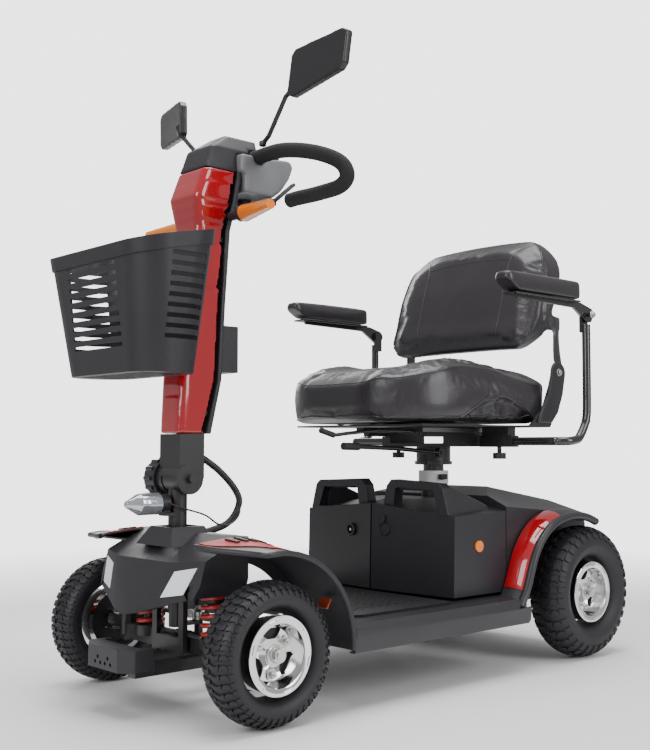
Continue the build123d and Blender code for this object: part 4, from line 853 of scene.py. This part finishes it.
def upholstered(node, name, form, held, cap, voxel=0.006, faces=None):
    """A padded piece from a frame node: formed, shrunk, swollen by air in a cloth simulation, then capped."""
    source = nodes[node]
    mesh = bpy.data.meshes.new(name)
    rough_form = bmesh.new()
    rough_form.from_mesh(source.data)
    bmesh.ops.transform(rough_form, matrix=source.matrix_world, verts=rough_form.verts)
    if faces:
        bmesh.ops.delete(rough_form, geom=[f for f in rough_form.faces if not faces(f.calc_center_median())],
                         context="FACES")
    rough_form.to_mesh(mesh)
    rough_form.free()
    piece = placed(name, mesh)

    def settle():
        made = bpy.data.meshes.new_from_object(piece.evaluated_get(bpy.context.evaluated_depsgraph_get()))
        piece.modifiers.clear()
        piece.data = made

    grid = piece.modifiers.new("even skin", "REMESH")
    grid.mode = "VOXEL"
    grid.voxel_size = voxel
    ease = piece.modifiers.new("eased", "SMOOTH")
    ease.factor = 0.5
    ease.iterations = 6
    settle()
    for vert in piece.data.vertices:
        vert.co = form(vert.co)
    full = [vert.co.copy() for vert in piece.data.vertices]
    normals = [vert.normal.copy() for vert in piece.data.vertices]
    for vert, normal in zip(piece.data.vertices, normals):
        vert.co -= normal * 0.004
    pins = piece.vertex_groups.new(name="held")
    for vert, place in zip(piece.data.vertices, full):
        if held(place):
            pins.add([vert.index], 1.0, "REPLACE")
    cloth = piece.modifiers.new("air", "CLOTH")
    cloth.settings.use_pressure = True
    cloth.settings.uniform_pressure_force = 4.0
    cloth.settings.vertex_group_mass = "held"
    cloth.settings.quality = 5
    cloth.settings.effector_weights.gravity = 0.0
    cloth.point_cache.frame_start = 1
    cloth.point_cache.frame_end = 20
    for step in range(1, 21):
        bpy.context.scene.frame_set(step)
    settle()
    bpy.context.scene.frame_set(1)
    for vert, place in zip(piece.data.vertices, full):
        moved = vert.co - place
        if moved.length > cap:
            vert.co = place + moved * (cap / moved.length)
    piece.vertex_groups.clear()
    fine = piece.modifiers.new("fine", "SUBSURF")
    fine.levels = 1
    fine.render_levels = 1
    settle()
    piece.data.materials.clear()
    piece.data.materials.append(vinyl)
    for polygon in piece.data.polygons:
        polygon.use_smooth = True
        polygon.material_index = 0
    return piece


def surface_of(piece):
    """A search tree over a piece's mesh, in the frame."""
    shape = bmesh.new()
    shape.from_mesh(piece.data)
    tree = BVHTree.FromBMesh(shape)
    shape.free()
    return tree


def sewn(name, points, tree, radius, material, body, lift=0.0):
    """A seam or a piping laid on a padded piece's skin."""
    laid = []
    for point in points:
        place, normal, _, _ = tree.find_nearest(point)
        laid.append(place + normal * (lift - radius * 0.35))
    return tube_round(name, laid, radius, material, body)


def rounding(gap, reach):
    """How far an edge rounded over a reach pulls in, at a gap from the face beyond it."""
    t = min(1.0, max(0.0, 1 - gap / reach))
    return reach * (1 - math.sqrt(1 - t * t))


def crest(y):
    """The height of the cushion's side crest."""
    return 640 + 27 * ramp(y, -30, 153) - 32 * ramp(y, 170, 430)


def cushion_form(point):
    """Rounds the rims, dishes the middle, and sinks the piped arch in each side panel."""
    x, y, z = point.x / MM, point.y / MM - SHIFT, point.z / MM
    pulled = 0.55 * rounding(z - 527, 44) + 0.5 * rounding(crest(y) - z, 34)
    x *= 1 - pulled / 224
    if y < 150:
        y = 150 + (y - 150) * (1 - pulled / 206)
    top = ramp(z, 585, 640)
    z -= 15 * top * (1 - ramp(abs(x), 90, 205)) * ramp(y, -50, 40) * (1 - ramp(y, 380, 440))
    z += 5 * top * ramp(abs(x), 165, 212) * ramp(y, 30, 120) * (1 - ramp(y, 200, 420))
    arch = 592 - 58 * ((y - 262) / 128) ** 2
    inside = ramp(arch - z, 0, 9) * ramp(abs(x), 190, 210)
    folds = 2.2 * math.sin(y * 0.085 + z * 0.06) + 1.4 * math.sin(y * 0.16 - z * 0.09)
    x -= math.copysign((15 + folds) * inside, x)
    return at(x, y, z)


cushion = upholstered("seat_cushion", "seat_cushion_padded", cushion_form, lambda p: p.z < 0.534, 0.010)
cushion_skin = surface_of(cushion)


def plan_outline(inset, rear, count=48):
    """The cushion's plan outline from one rear corner round the front to the other, in mm."""
    half, front, r = 224 - inset, -56 + inset, 165
    line = [(half, rear - (rear - (front + r)) * k / count) for k in range(count)]
    line += [(half - r + r * math.cos(a), front + r - r * math.sin(a))
             for a in (math.pi / 2 * k / count for k in range(count + 1))]
    line += [(x, front) for x in (half - r - 2 * (half - r) * k / count for k in range(1, count))]
    back = [(-x, y) for x, y in line[:2 * count + 1]][::-1]
    return line + back


top_seam = [at(x, y, crest(y) - 9) for x, y in plan_outline(2, 424)]
sewn("cushion_top_seam", top_seam, cushion_skin, 0.0016, vinyl, "seat")
for side, sign in SIDES:
    arch_line = [at(sign * 222, 262 + 126 * (k / 20 - 1), 595 - 58 * (k / 20 - 1) ** 2) for k in range(41)]
    sewn(f"cushion_arch_piping_{side}", arch_line, cushion_skin, 0.0022, vinyl, "seat", 0.001)
    down = [at(sign * 222, 412, 634 - 96 * k / 20) for k in range(21)]
    sewn(f"cushion_rear_piping_{side}", down, cushion_skin, 0.0020, vinyl, "seat", 0.001)
    corner = [at(sign * (150 + 2.5 * k), 20 - 2.4 * k, 655 - 1.2 * k) for k in range(16)]
    sewn(f"cushion_corner_seam_{side}", corner, cushion_skin, 0.0014, vinyl, "seat")
hem = [at(x, y, 535) for x, y in plan_outline(2, 400)]
sewn("cushion_hem", hem, cushion_skin, 0.0022, vinyl, "seat", 0.001)
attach(cushion, "seat")
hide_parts("seat_cushion")

# ---------------------------------------------------------------- hinge skirts
# A curved dark plastic skirt covers the hinge of the backrest at each side, with the hinge bolt through it.

HINGE = (452, 651)
for side, sign in SIDES:
    outline = []
    for k in range(25):
        a = math.radians(-20 + 200 * k / 24)
        outline.append((HINGE[0] + 27 * math.cos(a), HINGE[1] + 27 * math.sin(a)))
    outline += [(414, 600), (386, 560), (372, 532), (424, 532), (448, 556), (468, 600)]
    skirt = bmesh.new()
    inner = [skirt.verts.new(at(sign * 232.6, y, z)) for y, z in outline]
    drawn_in = [(440 + (y - 440) * 0.94, 610 + (z - 610) * 0.95) for y, z in outline]
    outer = [skirt.verts.new(at(sign * 238.5, y, z)) for y, z in drawn_in]
    skin_rings(skirt, (inner, outer), caps=True)
    soften(new_piece(f"hinge_skirt_{side}", skirt, black_moulding, "seat"), 2.0, 25)
    bolt(f"hinge_bolt_{side}", at(sign * 238.4, *HINGE), (sign, 0, 0), 0.0065, 0.005, zinc, "seat")

# ---------------------------------------------------------------- backrest
# A thick vinyl pad with rounded corners. A yoke seam and two upright seams divide its front into panels.

def back_form(point):
    """Rounds the upper corners and lets the top edge fall away from the middle."""
    x, y, z = point.x / MM, point.y / MM - SHIFT, point.z / MM
    high = ramp(z, 800, 984)
    z -= high * (12 * (x / 234) ** 2 + 26 * (x / 234) ** 8)
    x *= 1 - 0.05 * ramp(z, 860, 990)
    return at(x, y, z)


backrest = upholstered("seat_back", "seat_back_padded", back_form, lambda p: False, 0.008)
back_skin = surface_of(backrest)


def on_back(x, t):
    """A point just in front of the backrest's front face, t from its foot to its top."""
    line = [(352, 712), (376, 790), (398, 860), (430, 950), (452, 978)]
    place = t * (len(line) - 1)
    k = min(len(line) - 2, int(place))
    share = place - k
    y = line[k][0] + (line[k + 1][0] - line[k][0]) * share
    z = line[k][1] + (line[k + 1][1] - line[k][1]) * share
    return at(x, y - 3, z)


yoke = [on_back(x, 0.70 - 0.02 * (x / 130) ** 2) for x in range(-124, 125, 8)]
sewn("back_yoke_seam", yoke, back_skin, 0.0014, vinyl, "seat_back")
for side, sign in SIDES:
    upright = [on_back(sign * (128 + 52 * ramp(t / 30, 0.62, 1.05)), 0.05 + 0.93 * t / 30) for t in range(31)]
    sewn(f"back_panel_seam_{side}", upright, back_skin, 0.0014, vinyl, "seat_back")
    piping = [on_back(sign * 226, 0.10 + 0.78 * k / 24) for k in range(25)]
    sewn(f"back_piping_{side}", piping, back_skin, 0.0022, vinyl, "seat_back", 0.001)
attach(backrest, "seat_back")
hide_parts("seat_back")

# ---------------------------------------------------------------- armrests
# A bent gloss black tube carries a steel plate with a long vinyl pad at each side, on a pivot with a bolt.

def spline_points(points, count):
    """Evenly spaced points on a smooth line through the given ones, by repeated cubic blending."""
    places = [at(*p) for p in points]
    padded = [places[0] * 2 - places[1]] + places + [places[-1] * 2 - places[-2]]
    out = []
    for k in range(len(places) - 1):
        a, b, c, d = padded[k:k + 4]
        for j in range(count):
            t = j / count
            out.append(0.5 * ((2 * b) + (c - a) * t + (2 * a - 5 * b + 4 * c - d) * t * t
                              + (3 * b - a - 3 * c + d) * t * t * t))
    out.append(places[-1])
    return out


def arm_pad_form(point):
    """Thickens the pad downwards, rounds its rim, and bevels its front tip up."""
    x, y, z = point.x / MM, point.y / MM - SHIFT, point.z / MM
    z = 846 - (846 - z) * 1.32
    z += 22 * (1 - ramp(y, 112, 165)) * (1 - ramp(z, 800, 838))
    return at(x, y, z)


ARM_PATH = ((150, 329, 492), (250, 329, 492), (300, 330, 492), (319, 338, 492), (332, 353, 492),
            (335, 370, 494), (335, 387, 499), (335, 405, 520), (335, 416, 542), (335, 420, 580), (335, 421, 752))
for side, sign in SIDES:
    bar = spline_points([(sign * x, y, z) for x, y, z in ARM_PATH], 10)
    tube_round(f"arm_tube_{side}", bar, 0.0095, gloss_steel, f"arm_bar_{side}")
    dress(f"arm_bar_{side}", gloss_steel, 0.8)
    pivot = at(sign * 349, 425, 773.5)
    bolt(f"arm_pivot_{side}", pivot, (sign, 0, 0), 0.0062, 0.006, zinc, f"arm_bar_{side}")
    pad = upholstered(f"armrest_{side}", f"armrest_pad_{side}", arm_pad_form, lambda p: p.z < 0.803, 0.005,
                      voxel=0.0042, faces=lambda c: c.z > 0.8108)
    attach(pad, f"armrest_{side}")
    plate = bmesh.new()
    outline = [(168, 799), (398, 799), (440, 788), (444, 770), (436, 758), (418, 758), (372, 786), (172, 790)]
    rings = [[plate.verts.new(at(sign * x, y, z)) for y, z in outline] for x in (331.5, 339)]
    skin_rings(plate, rings, caps=True)
    add_block(plate, at(sign * 318, 150, 796.5), at(sign * 354, 376, 800.5))
    soften(new_piece(f"armrest_plate_{side}", plate, gloss_steel, f"armrest_{side}"), 0.9)
    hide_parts(f"armrest_{side}")

# ---------------------------------------------------------------- steering stem, headlight and tilt knob
# The stem rises through the nose to the tilt hub. A lamp with a clear faceted lens and a dark bezel is clamped to
# it, and a big lobed knob locks the tilt.

dress("steering_stem", black_steel, 1.0)
dress("tilt_knob", black_moulding, 1.5)
clear_lens = finish("clear lens", (0.50, 0.53, 0.57), 0.10, metal=0.75, coat=1.0, grain=0.9,
                    grain_scale=110.0)
dress_by("headlight", (black_moulding, clear_lens), lambda p, n: int(p.y < -485), 1.0)

# ---------------------------------------------------------------- tiller
# A steel tube is cased by a glossy red front shell and a black rear shell. A black head carries the grey
# console, and the handlebar is covered in foam.

foam = finish("grip foam", (0.010, 0.010, 0.011), 0.86, grain=0.9, grain_scale=520.0, dust=0.05)
console_grey = finish("console grey", (0.16, 0.165, 0.175), 0.36, grain=0.12)
for node, material, width in (("tiller_column", black_steel, 1.0), ("tiller_front", gloss_red, 3.0),
                              ("tiller_rear", black_moulding, 2.0), ("tiller_head", black_moulding, 3.0),
                              ("console", console_grey, 3.0), ("handlebar", foam, 1.0),
                              ("throttle_lever", black_moulding, 1.0), ("speed_dial", black_moulding, 1.0),
                              ("ignition_key", zinc, 0.5), ("accessory_box", case_black, 1.6),
                              ("basket", black_moulding, 1.0)):
    dress(node, material, width)
for node in ("tiller_front", "tiller_head", "console"):
    mould_round(nodes[node], 0.003, 10)
dress_by("turn_signals", (black_moulding, amber_lens), lambda p, n: int(abs(p.x) > 94.2), 1.0)
mirror_case = finish("mirror case", (0.014, 0.014, 0.016), 0.34, grain=0.1)
for node in ("mirror_left", "mirror_right"):
    dress(node, mirror_case, 2.0)
    mould_round(nodes[node], 0.0022, 6)

# ---------------------------------------------------------------- conduit and lamp lead
# A corrugated conduit carries the tiller's wires in a loop behind the stem. The lamp's thin lead runs beside it.

conduit_black = finish("conduit black", (0.016, 0.016, 0.017), 0.44, grain=0.1)
CONDUIT = ((10, -403.5, 466), (10, -352, 434), (10, -312, 396), (10, -302, 366), (10, -330, 330),
           (10, -391.5, 313))


def path_length(points):
    """The length of a line through the points."""
    return sum((b - a).length for a, b in zip(points, points[1:]))


def ringed_tube(name, line, radius, depth, pitch, material):
    """A corrugated tube along a line: its radius swells and falls at each pitch."""
    length = path_length(line)
    steps = max(8, int(length / (pitch / 4)))
    shape = bmesh.new()
    rings = []
    side = Vector((1, 0, 0))
    for k, (place, ahead) in enumerate(evenly(line, steps)):
        out = (side - ahead * side.dot(ahead)).normalized()
        up = ahead.cross(out)
        r = radius - depth * (0.5 - 0.5 * math.cos(2 * math.pi * length * k / steps / pitch))
        rings.append([shape.verts.new(place + (out * math.cos(a) + up * math.sin(a)) * r)
                      for a in (2 * math.pi * n / 20 for n in range(20))])
    skin_rings(shape, rings, caps=True)
    return new_piece(name, shape, material, None)


line = spline_points(CONDUIT, 24)
split = 3 * 24
upper = ringed_tube("conduit_upper", line[:split + 1], 0.007, 0.0011, 0.0042, conduit_black)
lower = ringed_tube("conduit_lower", line[split:], 0.007, 0.0011, 0.0042, conduit_black)
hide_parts("wiring_conduit")
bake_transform(upper)
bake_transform(lower)
LAMP_LEAD = ((19.2, -472, 374), (26, -445, 364), (32, -400, 350), (32, -368, 331), (30, -338, 330),
             (26, -312, 352), (24, -320, 392))
lead_black = finish("lead black", (0.015, 0.015, 0.016), 0.5, grain=0.1)
lead_line = spline_points(LAMP_LEAD, 10)
lead = tube_round("lamp_wire", lead_line, 0.0018, lead_black, "steering")
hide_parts("lamp_lead")

# ---------------------------------------------------------------- studio
# A pale floor that fades into the backdrop, with large soft lights overhead and at both sides.

fade = bpy.data.materials.new("studio floor")
fade.use_nodes = True
tree = fade.node_tree
floor_shader = tree.nodes["Principled BSDF"]
floor_shader.inputs["Base Color"].default_value = (0.86, 0.86, 0.86, 1.0)
floor_shader.inputs["Roughness"].default_value = 0.6
place = tree.nodes.new("ShaderNodeTexCoord")
reach = tree.nodes.new("ShaderNodeVectorMath")
reach.operation = "LENGTH"
tree.links.new(place.outputs["Object"], reach.inputs[0])
edge = tree.nodes.new("ShaderNodeMapRange")
edge.inputs["From Min"].default_value = 1.3
edge.inputs["From Max"].default_value = 3.0
edge.inputs["To Min"].default_value = 1.0
edge.inputs["To Max"].default_value = 0.0
tree.links.new(reach.outputs["Value"], edge.inputs["Value"])
tree.links.new(edge.outputs["Result"], floor_shader.inputs["Alpha"])
ground = bmesh.new()
bmesh.ops.create_circle(ground, cap_ends=True, segments=96, radius=3.2)
mesh = bpy.data.meshes.new("floor")
ground.to_mesh(mesh)
ground.free()
mesh.materials.append(fade)
floor = bpy.data.objects.new("floor", mesh)
floor.location.z = -0.0002
bpy.context.scene.collection.objects.link(floor)


def softbox(name, place, goal, width, height, power):
    """A large soft area light that looks at a point."""
    light = bpy.data.lights.new(name, "AREA")
    light.shape = "RECTANGLE"
    light.size = width
    light.size_y = height
    light.energy = power
    lamp = bpy.data.objects.new(name, light)
    lamp.location = place
    lamp.rotation_euler = (Vector(goal) - Vector(place)).to_track_quat("-Z", "Y").to_euler()
    bpy.context.scene.collection.objects.link(lamp)


softbox("light_overhead", (0.2, 0.0, 3.2), (0, 0, 0.5), 2.2, 2.2, 110)
softbox("light_front", (0.6, -3.2, 1.8), (0, 0, 0.5), 1.6, 2.0, 55)
softbox("light_side", (3.2, 0.6, 1.7), (0, 0, 0.5), 1.4, 2.2, 60)
softbox("light_far", (-2.8, 1.2, 1.8), (0, 0, 0.6), 1.6, 2.0, 40)

world = bpy.data.worlds.new("studio")
bpy.context.scene.world = world
world.use_nodes = True
tree = world.node_tree
tree.nodes["Background"].inputs["Color"].default_value = (1.0, 1.0, 1.0, 1.0)
tree.nodes["Background"].inputs["Strength"].default_value = 0.5
backdrop = tree.nodes.new("ShaderNodeBackground")
backdrop.inputs["Strength"].default_value = 4.0
path = tree.nodes.new("ShaderNodeLightPath")
choice = tree.nodes.new("ShaderNodeMixShader")
tree.links.new(path.outputs["Is Camera Ray"], choice.inputs["Fac"])
tree.links.new(tree.nodes["Background"].outputs["Background"], choice.inputs[1])
tree.links.new(backdrop.outputs["Background"], choice.inputs[2])
tree.links.new(choice.outputs["Shader"], tree.nodes["World Output"].inputs["Surface"])

# ---------------------------------------------------------------- camera
# The camera stands ahead of the scooter's left front corner, a little lower than the seat.

lens = bpy.data.cameras.new("camera")
lens.lens = 59.88
lens.sensor_width = 36
lens.sensor_fit = "HORIZONTAL"
camera = bpy.data.objects.new("camera", lens)
camera.location = (1.73187, -1.62318, 0.48337)
camera.rotation_euler = (math.radians(93.71), 0.0, math.radians(48.01))
bpy.context.scene.collection.objects.link(camera)
bpy.context.scene.camera = camera
